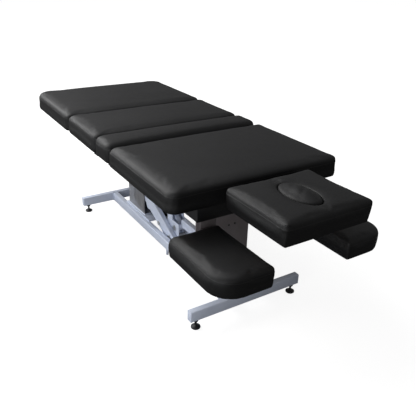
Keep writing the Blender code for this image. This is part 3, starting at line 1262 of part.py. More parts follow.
def build_control_box():
    """Motor control box under the fixed frame, with its mains inlet on the leg side."""
    top = FRAME_Z - GAP
    low = Vector((BOX_CENTRE_X - BOX_LENGTH / 2, -BOX_WIDTH / 2, top - BOX_HEIGHT))
    high = Vector((BOX_CENTRE_X + BOX_LENGTH / 2, BOX_WIDTH / 2, top))
    case = box("control_box", low, high)
    edge = case.modifiers.new("edges", "BEVEL")
    edge.width = BOX_EDGE
    edge.segments = 2
    finish_part(case, "black_plastic")
    middle = (low.z + high.z) / 2
    face = low.x - GAP
    outline = rectangle((-INLET_WIDTH / 2, middle - INLET_HEIGHT / 2),
                        (INLET_WIDTH / 2, middle + INLET_HEIGHT / 2), INLET_WALL)
    inlet = flat_piece("power_inlet", (outline,), "YZ", face - INLET_DEPTH, face)
    cut(inlet, box("inlet_recess",
                   (face - INLET_DEPTH - OVERRUN, -INLET_WIDTH / 2 + INLET_WALL,
                    middle - INLET_HEIGHT / 2 + INLET_WALL),
                   (face - INLET_WALL, INLET_WIDTH / 2 - INLET_WALL,
                    middle + INLET_HEIGHT / 2 - INLET_WALL)))
    finish_part(inlet, "black_plastic")


JOINTS = {
    "lift": (LOWER_BASE, ("lower_link_near", "lower_link_far", "lower_tie_tube",
                          "lower_carriage_shaft", "actuator_top_pin")),
    "upper_link": (UPPER_BASE, ("upper_link",)),
    "carriage": (LOWER_HEAD, ("carriage_frame", "head_plate", "upper_frame", "control_box",
                              "power_inlet", "seat_board", "seat_cushion", "upper_carriage_shaft",
                              "back_pin_near", "back_pin_far", "thigh_pin_near", "thigh_pin_far")),
    "actuator_swing": (ACTUATOR_BASE, ("actuator_housing",)),
    "actuator_stroke": (ACTUATOR_BASE, ("actuator_rod",)),
    "back_tilt": (BACK_HINGE, ("back_cushion", "back_board", "back_frame", "arm_bracket_near",
                               "arm_bracket_far")),
    "back_strut_swing": (BACK_STRUT_LOW, ("back_strut_cylinder",)),
    "back_strut_stroke": (BACK_STRUT_LOW, ("back_strut_rod",)),
    "thigh_tilt": (THIGH_HINGE, ("thigh_cushion", "thigh_board", "thigh_frame", "knee_pin_near",
                                 "knee_pin_far")),
    "thigh_strut_swing": (THIGH_STRUT_LOW, ("thigh_strut_cylinder",)),
    "thigh_strut_stroke": (THIGH_STRUT_LOW, ("thigh_strut_rod",)),
    "leg_tilt": (KNEE_HINGE, ("leg_cushion", "leg_board", "leg_frame")),
    "head_slide": (HEAD_HINGE, ("head_bracket",)),
    "head_tilt": (HEAD_HINGE, ("head_hinge", "head_board", "head_cushion")),
    "plug_lift": (Vector((HOLE_CENTRE_X, 0, HEAD_BASE_Z)), ("face_plug",)),
    "arm_swing_near": (ARM_PIVOTS["near"], ("arm_board_near", "arm_cushion_near")),
    "arm_swing_far": (ARM_PIVOTS["far"], ("arm_board_far", "arm_cushion_far")),
}


def place_joint_empties():
    """An empty on each joint's axis, with the pieces that move with it as its children."""
    bpy.context.view_layer.update()
    for name, (place, members) in JOINTS.items():
        pivot = bpy.data.objects.new(name + "_axis", None)
        pivot.empty_display_size = FOOT_RADIUS
        pivot.location = place
        PARTS.objects.link(pivot)
        for member in members:
            item = bpy.data.objects[member]
            item.parent = pivot
            item.matrix_parent_inverse = Matrix.Translation(-place)


def main():
    build_base()
    build_base_plate()
    build_column()
    build_lift()
    build_carriage()
    build_head_plate()
    build_upper_frame()
    build_actuator()
    build_sections()
    build_back_frame()
    build_thigh_frame()
    build_leg_frame()
    build_hinge_pins()
    build_strut("back_strut", BACK_STRUT_LOW, BACK_STRUT_HIGH, STRUT_BACK_PLAY, STRUT_BACK_SLOT)
    build_strut("thigh_strut", THIGH_STRUT_LOW, THIGH_STRUT_HIGH, STRUT_THIGH_PLAY, RUN)
    build_head()
    build_arms()
    build_control_box()
    place_joint_empties()


main()
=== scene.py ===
import json
import math

import bmesh
import bpy
import numpy as np
from mathutils import Matrix, Vector
from mathutils.bvhtree import BVHTree


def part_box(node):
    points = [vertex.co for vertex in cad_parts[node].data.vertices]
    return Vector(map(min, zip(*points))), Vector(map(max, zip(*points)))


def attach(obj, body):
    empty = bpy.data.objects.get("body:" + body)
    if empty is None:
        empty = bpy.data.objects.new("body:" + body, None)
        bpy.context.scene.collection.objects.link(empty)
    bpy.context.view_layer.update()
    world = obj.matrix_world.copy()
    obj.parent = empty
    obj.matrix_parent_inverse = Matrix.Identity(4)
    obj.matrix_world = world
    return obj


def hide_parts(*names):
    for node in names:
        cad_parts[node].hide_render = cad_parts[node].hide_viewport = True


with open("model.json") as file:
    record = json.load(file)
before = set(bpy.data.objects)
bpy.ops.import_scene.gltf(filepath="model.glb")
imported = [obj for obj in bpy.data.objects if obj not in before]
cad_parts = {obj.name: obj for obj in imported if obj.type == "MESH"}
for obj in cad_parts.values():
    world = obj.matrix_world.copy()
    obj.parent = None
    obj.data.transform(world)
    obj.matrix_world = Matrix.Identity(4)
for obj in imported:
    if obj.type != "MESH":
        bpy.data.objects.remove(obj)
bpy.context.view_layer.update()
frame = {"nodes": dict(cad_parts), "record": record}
print("frame loaded:", len(frame["nodes"]), "nodes")


class Wire:
    # one node output, with the arithmetic that the materials use
    def __init__(self, paint, socket):
        self.paint = paint
        self.socket = socket

    def maths(self, operation, first, second):
        return self.paint.add("Math", {"operation": operation}, {0: first, 1: second})

    def __add__(self, other):
        return self.maths("ADD", self, other)

    def __radd__(self, other):
        return self.maths("ADD", other, self)

    def __sub__(self, other):
        return self.maths("SUBTRACT", self, other)

    def __rsub__(self, other):
        return self.maths("SUBTRACT", other, self)

    def __mul__(self, other):
        return self.maths("MULTIPLY", self, other)

    def __rmul__(self, other):
        return self.maths("MULTIPLY", other, self)

    def clamp(self):
        return self.paint.add("Clamp", {}, {"Value": self})

    def most(self, other):
        return self.maths("MAXIMUM", self, other)


class Nodes:
    # a node tree and the ways to add to it
    def __init__(self, tree):
        self.tree = tree

    def put(self, node, name, value):
        socket = node.inputs[name]
        if isinstance(value, Wire):
            self.tree.links.new(value.socket, socket)
        else:
            socket.default_value = value

    def add(self, kind, settings, sockets, output=0):
        node = self.tree.nodes.new("ShaderNode" + kind)
        for name, value in settings.items():
            setattr(node, name, value)
        for name, value in sockets.items():
            self.put(node, name, value)
        return Wire(self, node.outputs[output])

    def noise(self, scale, detail=3.0, roughness=0.55, vector=None):
        place = vector or self.objectPlace()
        return self.add("TexNoise", {}, {"Vector": place, "Scale": scale, "Detail": detail,
                                         "Roughness": roughness})

    def cells(self, scale, feature="F1", vector=None):
        place = vector or self.objectPlace()
        return self.add("TexVoronoi", {"feature": feature}, {"Vector": place, "Scale": scale})

    def objectPlace(self):
        return self.add("TexCoord", {}, {}, output=3)

    def ray(self, kind):
        return self.add("LightPath", {}, {}, output="Is " + kind + " Ray")

    def facing(self, axis):
        # how far the surface faces along an axis, from -1 to 1
        normal = self.add("NewGeometry", {}, {}, output=1)
        return self.add("SeparateXYZ", {}, {"Vector": normal}, output=axis)

    def stretched(self, scale):
        # object coordinates with each axis scaled on its own, for streaks and grain
        return self.add("Mapping", {}, {"Vector": self.objectPlace(), "Scale": scale})

    def between(self, value, low, high, toLow=0.0, toHigh=1.0):
        return self.add("MapRange", {"clamp": True}, {"Value": value, "From Min": low,
                                                      "From Max": high, "To Min": toLow,
                                                      "To Max": toHigh})

    def spread(self, value, toLow=0.0, toHigh=1.0):
        # the middle of a texture's range, where most of its values are, stretched over a range
        return self.between(value, 0.3, 0.7, toLow, toHigh)

    def mixColour(self, share, first, second):
        return self.add("Mix", {"data_type": "RGBA"}, {0: share, 6: first, 7: second}, output=2)

    def bump(self, height, distance, strength=1.0, normal=None):
        sockets = {"Height": height, "Distance": distance, "Strength": strength}
        if normal:
            sockets["Normal"] = normal
        return self.add("Bump", {}, sockets)


class Paint(Nodes):
    # one material: its node tree and its shader
    def __init__(self, name, metallic=0.0, coat=0.0):
        self.material = bpy.data.materials.new(name)
        self.material.use_nodes = True
        super().__init__(self.material.node_tree)
        self.shader = self.tree.nodes["Principled BSDF"]
        self.shader.inputs["Metallic"].default_value = metallic
        self.shader.inputs["Coat Weight"].default_value = coat

    def finish(self, **sockets):
        names = {"colour": "Base Color", "roughness": "Roughness", "normal": "Normal",
                 "specular": "Specular IOR Level"}
        for name, value in sockets.items():
            self.put(self.shader, names[name], value)
        return self.material


def rgb(red, green, blue):
    # an sRGB colour in 0-255 as the linear colour that the shader takes
    def linear(value):
        share = value / 255
        return share / 12.92 if share <= 0.04045 else ((share + 0.055) / 1.055) ** 2.4
    return (linear(red), linear(green), linear(blue), 1.0)


# the side colour is painted shade on the vinyl's sides and the top colour painted light on its
# up-facing faces; the lightest tone is dusty and also painted top light
vinylValues = {
    "side": rgb(9, 9, 10), "top": rgb(19, 19, 20), "dustAndTopLight": rgb(38, 38, 40),
    "cloudScale": 6.0, "fineScale": 180.0, "grainScale": 620.0, "grainEdge": 0.28,
    "grainDepth": 0.00020, "creaseScale": 40.0, "creaseStretch": (1.0, 1.7, 1.0),
    "creaseDepth": 0.0007, "upwardLitAndDusty": (0.25, 0.95), "wear": (0.40, 0.72), "wearDust": 0.30,
    # the grain's raised pebbles take a little of the lighter tone, so the grooves between them are
    # darker
    "pebbleLightening": 0.06, "rough": (0.50, 0.62), "specular": 0.36,
}


def makeVinyl():
    # embossed vinyl: its darker sides are painted shade and its lighter up-facing top is painted
    # light; rubbed up-facing patches take a lighter dusty tone that is partly painted light on the
    # top
    v = vinylValues
    paint = Paint("blackVinyl")
    cloud = paint.noise(v["cloudScale"], 4.0)
    fine = paint.noise(v["fineScale"], 3.0)
    grainEdge = paint.cells(v["grainScale"], "DISTANCE_TO_EDGE")
    pebbles = paint.between(grainEdge, 0.0, v["grainEdge"])
    creases = paint.noise(v["creaseScale"], 4.0, 0.6, paint.stretched(v["creaseStretch"]))
    upwardLitAndDusty = paint.between(paint.facing(2), *v["upwardLitAndDusty"])
    wear = paint.between(cloud * 0.6 + fine * 0.4, *v["wear"])
    # painted shade and light: faces that turn up take the lighter top colour, the sides the darker
    # side colour
    colour = paint.mixColour(upwardLitAndDusty, v["side"], v["top"])
    # a lighter tone, dusty and painted top light, where rubbed and facing up, and a little of it on
    # the grain's raised pebbles
    colour = paint.mixColour(wear * upwardLitAndDusty * v["wearDust"] + pebbles * v["pebbleLightening"],
                             colour, v["dustAndTopLight"])
    rough = paint.spread(cloud * 0.7 + fine * 0.3, *v["rough"])
    soft = paint.bump(creases, v["creaseDepth"], 0.45)
    grain = paint.bump(pebbles + fine * 0.5, v["grainDepth"], 0.5, soft)
    return paint.finish(colour=colour, roughness=rough, normal=grain, specular=v["specular"])


paintValues = {
    "base": {"low": rgb(200, 208, 226), "high": rgb(218, 226, 243), "rough": (0.30, 0.42),
             "metallic": 0.15, "peel": 0.00012},
    # the plate's dark grey-brown, raised lighter than its own colour as painted light against the
    # shade it lies in under the table
    "plate": {"low": rgb(112, 106, 107), "high": rgb(134, 127, 128), "rough": (0.40, 0.52),
              "metallic": 0.25, "peel": 0.00012},
    "black": {"low": rgb(13, 13, 14), "high": rgb(22, 22, 23), "rough": (0.38, 0.52),
              "metallic": 0.10, "peel": 0.00014},
}
coatValues = {"coat": 0.12, "driftScale": 5.0, "peelScale": 420.0, "speckleScale": 1500.0,
              "scuffScale": 60.0, "scuffStretch": (0.35, 1.0, 1.0), "worn": (0.66, 0.74),
              "wornShare": 0.35, "wornRough": 0.08, "wornGain": 1.25, "wornLift": 0.02}


def makePowderCoat(name, key):
    # orange-peel powder coat: slow tone drift, fine speckle and pale rubbed spots
    v, c = paintValues[key], coatValues
    paint = Paint(name, metallic=v["metallic"], coat=c["coat"])
    drift = paint.noise(c["driftScale"], 3.0)
    peel = paint.noise(c["peelScale"], 2.0, 0.45)
    speckle = paint.cells(c["speckleScale"])
    tone = paint.between(drift * 0.75 + peel * 0.25, 0.32, 0.68)
    colour = paint.mixColour(tone, v["low"], v["high"])
    scuffs = paint.noise(c["scuffScale"], 5.0, 0.7, paint.stretched(c["scuffStretch"]))
    worn = paint.between(scuffs, *c["worn"])
    pale = tuple(min(1.0, part * c["wornGain"] + c["wornLift"]) for part in v["high"][:3]) + (1.0,)
    colour = paint.mixColour(worn * c["wornShare"], colour, pale)
    rough = paint.between(peel * 0.5 + drift * 0.5, 0.35, 0.65, *v["rough"]) \
        + worn * c["wornRough"]
    skin = paint.bump(peel + speckle * 0.3, v["peel"], 0.6)
    return paint.finish(colour=colour, roughness=rough, normal=skin)


columnValues = {"low": rgb(104, 103, 104), "high": rgb(158, 158, 161), "rough": (0.24, 0.44),
                "metallic": 0.45, "coat": 0.2, "streakScale": 60.0,
                "streakStretch": (3.0, 3.0, 0.03), "broadScale": 14.0,
                "broadStretch": (1.4, 1.4, 0.12), "spangleScale": 85.0, "depth": 0.00016}


def makeBrushedColumn():
    # galvanised sheet under clear paint: upright streaks, broad bands and a trace of spangle
    v = columnValues
    paint = Paint("columnSteel", metallic=v["metallic"], coat=v["coat"])
    streak = paint.noise(v["streakScale"], 4.0, 0.55, paint.stretched(v["streakStretch"]))
    broad = paint.noise(v["broadScale"], 3.0, 0.5, paint.stretched(v["broadStretch"]))
    spangle = paint.cells(v["spangleScale"])
    tone = paint.between(streak * 0.6 + broad * 0.45 + spangle * 0.06, 0.3, 0.8)
    colour = paint.mixColour(tone, v["low"], v["high"])
    rough = paint.spread(streak, *v["rough"])
    return paint.finish(colour=colour, roughness=rough, normal=paint.bump(streak, v["depth"], 0.7))


zincValues = {"low": rgb(176, 178, 182), "high": rgb(206, 206, 204), "rough": (0.22, 0.40),
              "metallic": 0.92, "turningScale": 240.0, "turningStretch": (1.0, 0.15, 1.0),
              "cloudScale": 40.0, "depth": 0.00008}


def makeZinc():
    # zinc plate: clouded tone over fine turning marks
    v = zincValues
    paint = Paint("zincPlate", metallic=v["metallic"])
    turning = paint.noise(v["turningScale"], 3.0, 0.6, paint.stretched(v["turningStretch"]))
    cloud = paint.noise(v["cloudScale"], 4.0)
    colour = paint.mixColour(paint.spread(cloud), v["low"], v["high"])
    rough = paint.spread(turning * 0.6 + cloud * 0.4, *v["rough"])
    return paint.finish(colour=colour, roughness=rough, normal=paint.bump(turning, v["depth"], 0.6))


plasticValues = {"blackPlastic": (rgb(19, 19, 20), rgb(30, 30, 31)),
                 "blackThread": (rgb(8, 8, 9), rgb(17, 17, 18)),
                 "sparkScale": 900.0, "cloudScale": 22.0, "rough": (0.42, 0.58), "depth": 0.00010}


def makePlastic(name):
    # finely sparked plastic, or bonded thread in a darker tone
    v = plasticValues
    paint = Paint(name)
    spark = paint.noise(v["sparkScale"], 2.0, 0.6)
    cloud = paint.noise(v["cloudScale"], 3.0)
    colour = paint.mixColour(paint.between(cloud * 0.6 + spark * 0.4, 0.35, 0.65), *v[name])
    rough = paint.spread(cloud, *v["rough"])
    return paint.finish(colour=colour, roughness=rough, normal=paint.bump(spark, v["depth"], 0.6))


plywoodValues = {"low": rgb(150, 116, 78), "high": rgb(203, 171, 128), "rough": (0.50, 0.68),
                 "grainScale": 26.0, "grainStretch": (0.22, 2.6, 1.0), "poreScale": 420.0,
                 "poreStretch": (0.10, 1.6, 1.0), "ringScale": 11.0, "ringDistortion": 9.0,
                 "ringStretch": (0.12, 1.0, 3.0), "depth": 0.0002}


def makePlywood():
    # long grain along the table, with growth rings, pores and a sealed surface
    v = plywoodValues
    paint = Paint("plywood")
    grain = paint.noise(v["grainScale"], 6.0, 0.62, paint.stretched(v["grainStretch"]))
    pores = paint.noise(v["poreScale"], 3.0, 0.7, paint.stretched(v["poreStretch"]))
    rings = paint.add("TexWave", {"wave_type": "BANDS", "bands_direction": "Y"},
                      {"Vector": paint.stretched(v["ringStretch"]), "Scale": v["ringScale"],
                       "Distortion": v["ringDistortion"], "Detail": 3.0, "Detail Scale": 0.7})
    tone = paint.between(grain * 0.55 + rings * 0.3 + pores * 0.15, 0.25, 0.75)
    colour = paint.mixColour(tone, v["low"], v["high"])
    rough = paint.spread(pores, *v["rough"])
    return paint.finish(colour=colour, roughness=rough,
                        normal=paint.bump(grain * 0.5 + pores * 0.5, v["depth"], 0.5))


materials = {
    "vinyl": makeVinyl(),
    "plywood": makePlywood(),
    "base_paint": makePowderCoat("silverPowderCoat", "base"),
    "column_paint": makeBrushedColumn(),
    "plate_paint": makePowderCoat("darkPlateCoat", "plate"),
    "black_paint": makePowderCoat("blackPowderCoat", "black"),
    "zinc": makeZinc(),
    "black_plastic": makePlastic("blackPlastic"),
    "pinSteel": makePowderCoat("darkPinSteel", "black"),
    "thread": makePlastic("blackThread"),
}
print("materials made:", len(materials))


def shadeSmooth(mesh, smooth=True):
    mesh.polygons.foreach_set("use_smooth", np.full(len(mesh.polygons), smooth))


def putInScene(name, data):
    item = bpy.data.objects.new(name, data)
    bpy.context.scene.collection.objects.link(item)
    return item


nodeValues = {"bevel": 0.0011, "smallShare": 0.4, "bevelSteps": 2, "weld": 0.00002,
              "flat": math.radians(0.6), "edge": math.radians(32)}


def dressNode(item, material, bevel):
    # merges the loose triangles, rounds the sharp edges a little and shades smooth
    item.data.materials.clear()
    item.data.materials.append(material)
    shadeSmooth(item.data)
    weld = item.modifiers.new("weld", "WELD")
    weld.merge_threshold = nodeValues["weld"]
    flat = item.modifiers.new("flat", "DECIMATE")
    flat.decimate_type = "DISSOLVE"
    flat.angle_limit = nodeValues["flat"]
    edge = item.modifiers.new("edges", "BEVEL")
    edge.limit_method = "ANGLE"
    edge.angle_limit = nodeValues["edge"]
    edge.width = bevel
    edge.segments = nodeValues["bevelSteps"]
    edge.harden_normals = True
    edge.use_clamp_overlap = True


slotOf = {part["node"]: part["material_slot"] for part in frame["record"]["subparts"]}
softNodes = [name for name, slot in slotOf.items() if slot == "vinyl"]
smallNodes = ("pin", "shaft", "rod", "foot", "strut", "inlet")
hingePins = ("back_pin", "thigh_pin", "knee_pin")
for nodeName, slotName in slotOf.items():
    if nodeName in softNodes:
        continue
    if nodeName.startswith(hingePins):
        slotName = "pinSteel"
    small = any(word in nodeName for word in smallNodes)
    dressNode(frame["nodes"][nodeName], materials[slotName],
              nodeValues["bevel"] * (nodeValues["smallShare"] if small else 1.0))
print("CAD nodes dressed")


sameSpot = 1e-6


def meshPiece(name, points, faces, material):
    # a smooth object of these points and faces, with doubled points merged and faces outward
    mesh = bpy.data.meshes.new(name)
    mesh.from_pydata(points.tolist(), [], faces)
    work = bmesh.new()
    work.from_mesh(mesh)
    bmesh.ops.remove_doubles(work, verts=work.verts, dist=sameSpot)
    bmesh.ops.recalc_face_normals(work, faces=work.faces)
    work.to_mesh(mesh)
    work.free()
    shadeSmooth(mesh)
    mesh.materials.append(material)
    return putInScene(name, mesh)


def turnAngles(count):
    return np.linspace(0, 2 * math.pi, count + 1)[:-1]


def gridFaces(rings, count):
    # quads between neighbouring rings of one length
    start = np.arange(rings - 1)[:, None] * count
    here = np.arange(count)[None, :]
    ahead = (here + 1) % count
    quads = np.stack([start + here, start + ahead, start + count + ahead, start + count + here],
                     axis=-1).reshape(-1, 4)
    return quads.tolist()


# a pad's sides are in the order leg end, near, head end, far; proud is how far the cover stands
# out of the solid's box at its low and high corners, dips how far the top falls to a hinged side,
# cap the most that the filling moves a point, welt the seam's depth below the top
padValues = {
    "legPad": {
        "node": "leg_cushion", "body": "leg", "radii": (0.072, 0.030, 0.030, 0.062),
        "edge": (0.012, 0.028, 0.014, 0.010), "crown": 0.0060, "lean": 0.003, "voxel": 0.0060,
        "proud": ((0.012, 0.008, 0.0), (0.0, 0.011, 0.0120)), "cap": 0.0045,
        "dips": (0.0, 0.0, 0.004, 0.0), "welt": 0.034, "seed": 11},
    "thighPad": {
        "node": "thigh_cushion", "body": "thigh", "radii": (0.030, 0.030, 0.024, 0.024),
        "edge": (0.014, 0.028, 0.016, 0.009), "crown": 0.0055, "lean": 0.002, "voxel": 0.0060,
        "proud": ((0.0, 0.008, 0.0), (0.0, 0.013, 0.0115)), "cap": 0.0040,
        "dips": (0.004, 0.0, 0.004, 0.0), "welt": 0.024, "seed": 12},
    "seatPad": {
        "node": "seat_cushion", "body": "carriage", "radii": (0.030, 0.030, 0.024, 0.024),
        "edge": (0.016, 0.028, 0.026, 0.009), "crown": 0.0045, "lean": 0.002, "voxel": 0.0060,
        "proud": ((0.0, 0.008, 0.0), (0.0, 0.011, 0.0110)), "cap": 0.0020,
        "dips": (0.003, 0.0, 0.006, 0.0), "welt": 0.034, "seed": 13},
    "backPad": {
        "node": "back_cushion", "body": "back", "radii": (0.030, 0.044, 0.028, 0.024),
        "edge": (0.026, 0.032, 0.016, 0.010), "crown": 0.0085, "lean": 0.004, "voxel": 0.0060,
        "proud": ((0.0, 0.008, 0.0), (0.008, 0.013, 0.0140)), "cap": 0.0050,
        "dips": (0.006, 0.0, 0.0, 0.0), "welt": 0.036, "seed": 14},
    "armPad_near": {
        "node": "arm_cushion_near", "body": "arm_near", "radii": (0.009, 0.096, 0.009, 0.008),
        "edge": (0.010, 0.034, 0.014, 0.006), "crown": 0.0050, "lean": 0.005, "voxel": 0.0048,
        "proud": ((0.003, 0.008, 0.0), (0.007, 0.012, 0.0090)), "cap": 0.0032,
        "dips": (), "welt": 0.026, "seed": 31},
    "armPad_far": {
        "node": "arm_cushion_far", "body": "arm_far", "radii": (0.008, 0.009, 0.092, 0.009),
        "edge": (0.010, 0.006, 0.014, 0.024), "crown": 0.0045, "lean": 0.003, "voxel": 0.0048,
        "proud": ((0.001, 0.005, 0.0), (0.009, 0.011, 0.0055)), "cap": 0.0045,
        "dips": (), "welt": 0.026, "seed": 32},
}
coverValues = {
    "bulge": 0.0015, "draw": 0.004, "tuck": 0.007, "rim": 0.0135, "pocket": 0.0162,
    "thinPocket": 0.0122, "sag": 0.0007, "sagLength": 0.16, "dipReach": 0.060,
    "crownFrom": 0.02, "topRings": 24, "edgeRings": 10, "sideRings": 12, "tuckRings": 7,
    "floorShares": (0.66, 0.33), "shrink": 0.0028, "shrinkTop": 0.0040, "fill": 0.9,
}
outlineValues = {"corner": 14, "side": 30, "least": 0.0008}
waveValues = {"count": 8, "lengths": (0.7, 1.5)}
gatherValues = {"depth": 0.0009, "leastRadius": 0.02, "spread": 0.75, "fade": 0.7, "rise": 6,
                "folds": (17, 29), "shares": (0.6, 0.4)}


def padOutline(low, high, radii, insets, levels):
    # a rectangle whose four sides are moved in by their own insets and lie at their own heights;
    # a corner is the ellipse (rx cos a, ry sin a) with rx and ry what the insets leave of its
    # radius, and its height runs from one side's to the other's as cos^2 a and sin^2 a
    v = outlineValues
    insets, levels = np.broadcast_to(insets, 4), np.broadcast_to(levels, 4)
    xSides, ySides = (0, 2, 2, 0), (1, 1, 3, 3)
    arcs = []
    for corner in range(4):
        first, second = xSides[corner], ySides[corner]
        signX, signY = (1 if first == 0 else -1), (1 if second == 1 else -1)
        reachX = max(radii[corner] - insets[first], v["least"])
        reachY = max(radii[corner] - insets[second], v["least"])
        edgeX = low[0] if first == 0 else high[0]
        edgeY = low[1] if second == 1 else high[1]
        middleX = edgeX + signX * (insets[first] + reachX)
        middleY = edgeY + signY * (insets[second] + reachY)
        angle = math.pi * (1 + corner / 2) + np.linspace(0, math.pi / 2, v["corner"])
        share = np.cos(angle) ** 2
        arcs.append(np.stack([middleX + reachX * np.cos(angle), middleY + reachY * np.sin(angle),
                              levels[first] * share + levels[second] * (1 - share)], axis=1))
    parts = []
    for index, arc in enumerate(arcs):
        after = arcs[(index + 1) % 4][0]
        share = np.linspace(0, 1, v["side"] + 1)[1:-1, None]
        parts += [arc, arc[-1] * (1 - share) + after * share]
    return np.concatenate(parts)


def padProfile(edges, height, pocket, lean):
    # rows of (inset, level) for the four sides: a quarter round of each side's edge radius, a
    # side that swells as a sine and leans in towards the bottom, the tuck under the bottom and
    # the rim of the board's pocket
    v = coverValues
    edges = np.array(edges)
    rows = []
    for turn in np.linspace(0, math.pi / 2, v["edgeRings"]):
        rows.append((edges * (1 - math.sin(turn)), height - edges * (1 - math.cos(turn))))
    for share in np.linspace(0, 1, v["sideRings"])[1:-1]:
        swell = lean * share - v["bulge"] * math.sin(math.pi * share)
        rows.append((swell, (height - edges) * (1 - share) + v["tuck"] * share))
    for turn in np.linspace(0, math.pi / 2, v["tuckRings"]):
        rows.append((lean + v["draw"] * (1 - math.cos(turn)), v["tuck"] * (1 - math.sin(turn))))
    return rows + [(v["rim"], level) for level in (0.0, pocket / 2, pocket)]


def waves(points, seed, length, size):
    # a smooth random height field: plane waves of random heading, length and phase, summed
    count = waveValues["count"]
    chance = np.random.default_rng(seed)
    heading = chance.uniform(0, 2 * math.pi, count)
    phase = chance.uniform(0, 2 * math.pi, count)
    rate = 2 * math.pi / (length * chance.uniform(*waveValues["lengths"], count))
    along = (points[..., 0:1] * np.cos(heading) + points[..., 1:2] * np.sin(heading)) * rate
    return size * np.sin(along + phase).sum(axis=-1) / count


def swellTop(points, low, high, p, pocket):
    # crown: the top falls by crown * (1 - (1 - x^2)(1 - y^2)) from its middle to its edge, the
    # foam's own unevenness is laid over it, and near a hinged side it falls by dip * (1 - d)^2
    v = coverValues
    middle, half = (low[:2] + high[:2]) / 2, (high - low)[:2] / 2
    height = high[2] - low[2]
    where = np.clip((points[..., :2] - middle) / half, -1, 1)
    swell = (1 - where[..., 0] ** 2) * (1 - where[..., 1] ** 2)
    base = pocket + v["crownFrom"]
    upper = np.clip((points[..., 2] - base) / (height - base), 0, 1)
    points[..., 2] -= p["crown"] * (1 - swell) * upper
    points[..., 2] += waves(points, p["seed"], v["sagLength"], v["sag"]) * upper
    inside = (points[..., 0] - low[0], points[..., 1] - low[1],
              high[0] - points[..., 0], high[1] - points[..., 1])
    for distance, dip in zip(inside, p["dips"]):
        share = np.clip(1 - distance / v["dipReach"], 0, 1)
        points[..., 2] -= dip * share ** 2 * upper
    return upper


def puckerCorners(points, low, high, radii, upper, seed):
    # gathers of the cover round each corner: a cosine of the angle round the corner's centre,
    # strongest low on the side and fading over the edge and away from the corner
    v = gatherValues
    for index, (signX, signY) in enumerate(((1, 1), (-1, 1), (-1, -1), (1, -1))):
        corner = np.array([(low, high)[signX < 0][0], (low, high)[signY < 0][1]])
        centre = corner + np.array([signX, signY]) * max(radii[index], v["leastRadius"])
        reach = points[..., :2] - centre
        angle = np.arctan2(reach[..., 1] * -signY, reach[..., 0] * -signX)
        near = np.exp(-((angle - math.pi / 4) / v["spread"]) ** 2)
        depth = (1 - upper) ** v["fade"] * np.clip(upper * v["rise"], 0, 1)
        folds = np.cos(angle * v["folds"][0] + seed + index) * v["shares"][0] \
            + np.cos(angle * v["folds"][1] + 2 * seed) * v["shares"][1]
        outward = reach / np.maximum(np.linalg.norm(reach, axis=-1, keepdims=True), sameSpot)
        points[..., :2] += outward * (near * depth * folds * v["depth"])[..., None]


def levelRing(flat, level):
    return np.column_stack([flat, np.full(len(flat), level)])


def closedRings(points, topCentre, bottomCentre):
    # the grid of rings as a closed surface, with a point at the middle of its top and bottom
    rings, count = points.shape[:2]
    flat = points.reshape(-1, 3)
    whole = np.concatenate([flat, [topCentre, bottomCentre]])
    faces = gridFaces(rings, count)
    first, last = len(flat), len(flat) + 1
    here = np.arange(count)
    ahead = (here + 1) % count
    faces += np.stack([np.full(count, first), ahead, here], axis=1).tolist()
    tail = (rings - 1) * count
    faces += np.stack([np.full(count, last), tail + here, tail + ahead], axis=1).tolist()
    return whole, faces


def grown(values):
    # the box that the finished cover fills
    low, high = (np.array(corner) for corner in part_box(values["node"]))
    return low - np.array(values["proud"][0]), high + np.array(values["proud"][1])


def slack(values):
    # the cut size of a cover: a little smaller than the finished pad, which fills out to it
    v = coverValues
    low, high = grown(values)
    inner = np.array([v["shrink"], v["shrink"], 0.0])
    return low + inner, high - inner - np.array([0.0, 0.0, v["shrinkTop"]])


def worked(rings, low, high, values, pocket):
    # the rings with their crown and gathers, raised to the pad's place
    points = np.array(rings)
    upper = swellTop(points, low, high, values, pocket)
    puckerCorners(points, low, high, values["radii"], upper, values["seed"])
    points[..., 2] += low[2]
    return points


def makePad(name):
    # rings from the middle of the top, over the edge and down to the pocket: inside the edge the
    # outline shrinks by a share, outside it follows the profile's insets
    p = padValues[name]
    low, high = slack(p)
    middle = (low[:2] + high[:2]) / 2
    height = high[2] - low[2]
    pocket = coverValues["thinPocket" if "arm" in name else "pocket"]
    profile = padProfile(p["edge"], height, pocket, p["lean"])
    rows = [padOutline(low, high, p["radii"], insets, levels) for insets, levels in profile]
    rings = []
    for share in np.linspace(0, 1, coverValues["topRings"])[1:-1]:
        flat = middle + (rows[0][:, :2] - middle) * share
        rings.append(np.column_stack([flat, rows[0][:, 2]]))
    rings += rows
    for share in coverValues["floorShares"]:
        flat = middle + (rows[-1][:, :2] - middle) * share
        rings.append(np.column_stack([flat, rows[-1][:, 2]]))
    points = worked(rings, low, high, p, pocket)
    top = np.array([*middle, points[0, :, 2].mean()])
    bottom = np.array([*middle, points[-1, :, 2].mean()])
    whole, faces = closedRings(points, top, bottom)
    piece = meshPiece(name, whole, faces, materials["vinyl"])
    standFor(piece, p["node"], p["body"])
    covers.append({"piece": piece, "values": p, "hole": None})


def standFor(piece, node, body):
    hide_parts(node)
    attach(piece, body)


covers = []
for padName in padValues:
    makePad(padName)
print("section and arm covers cut")


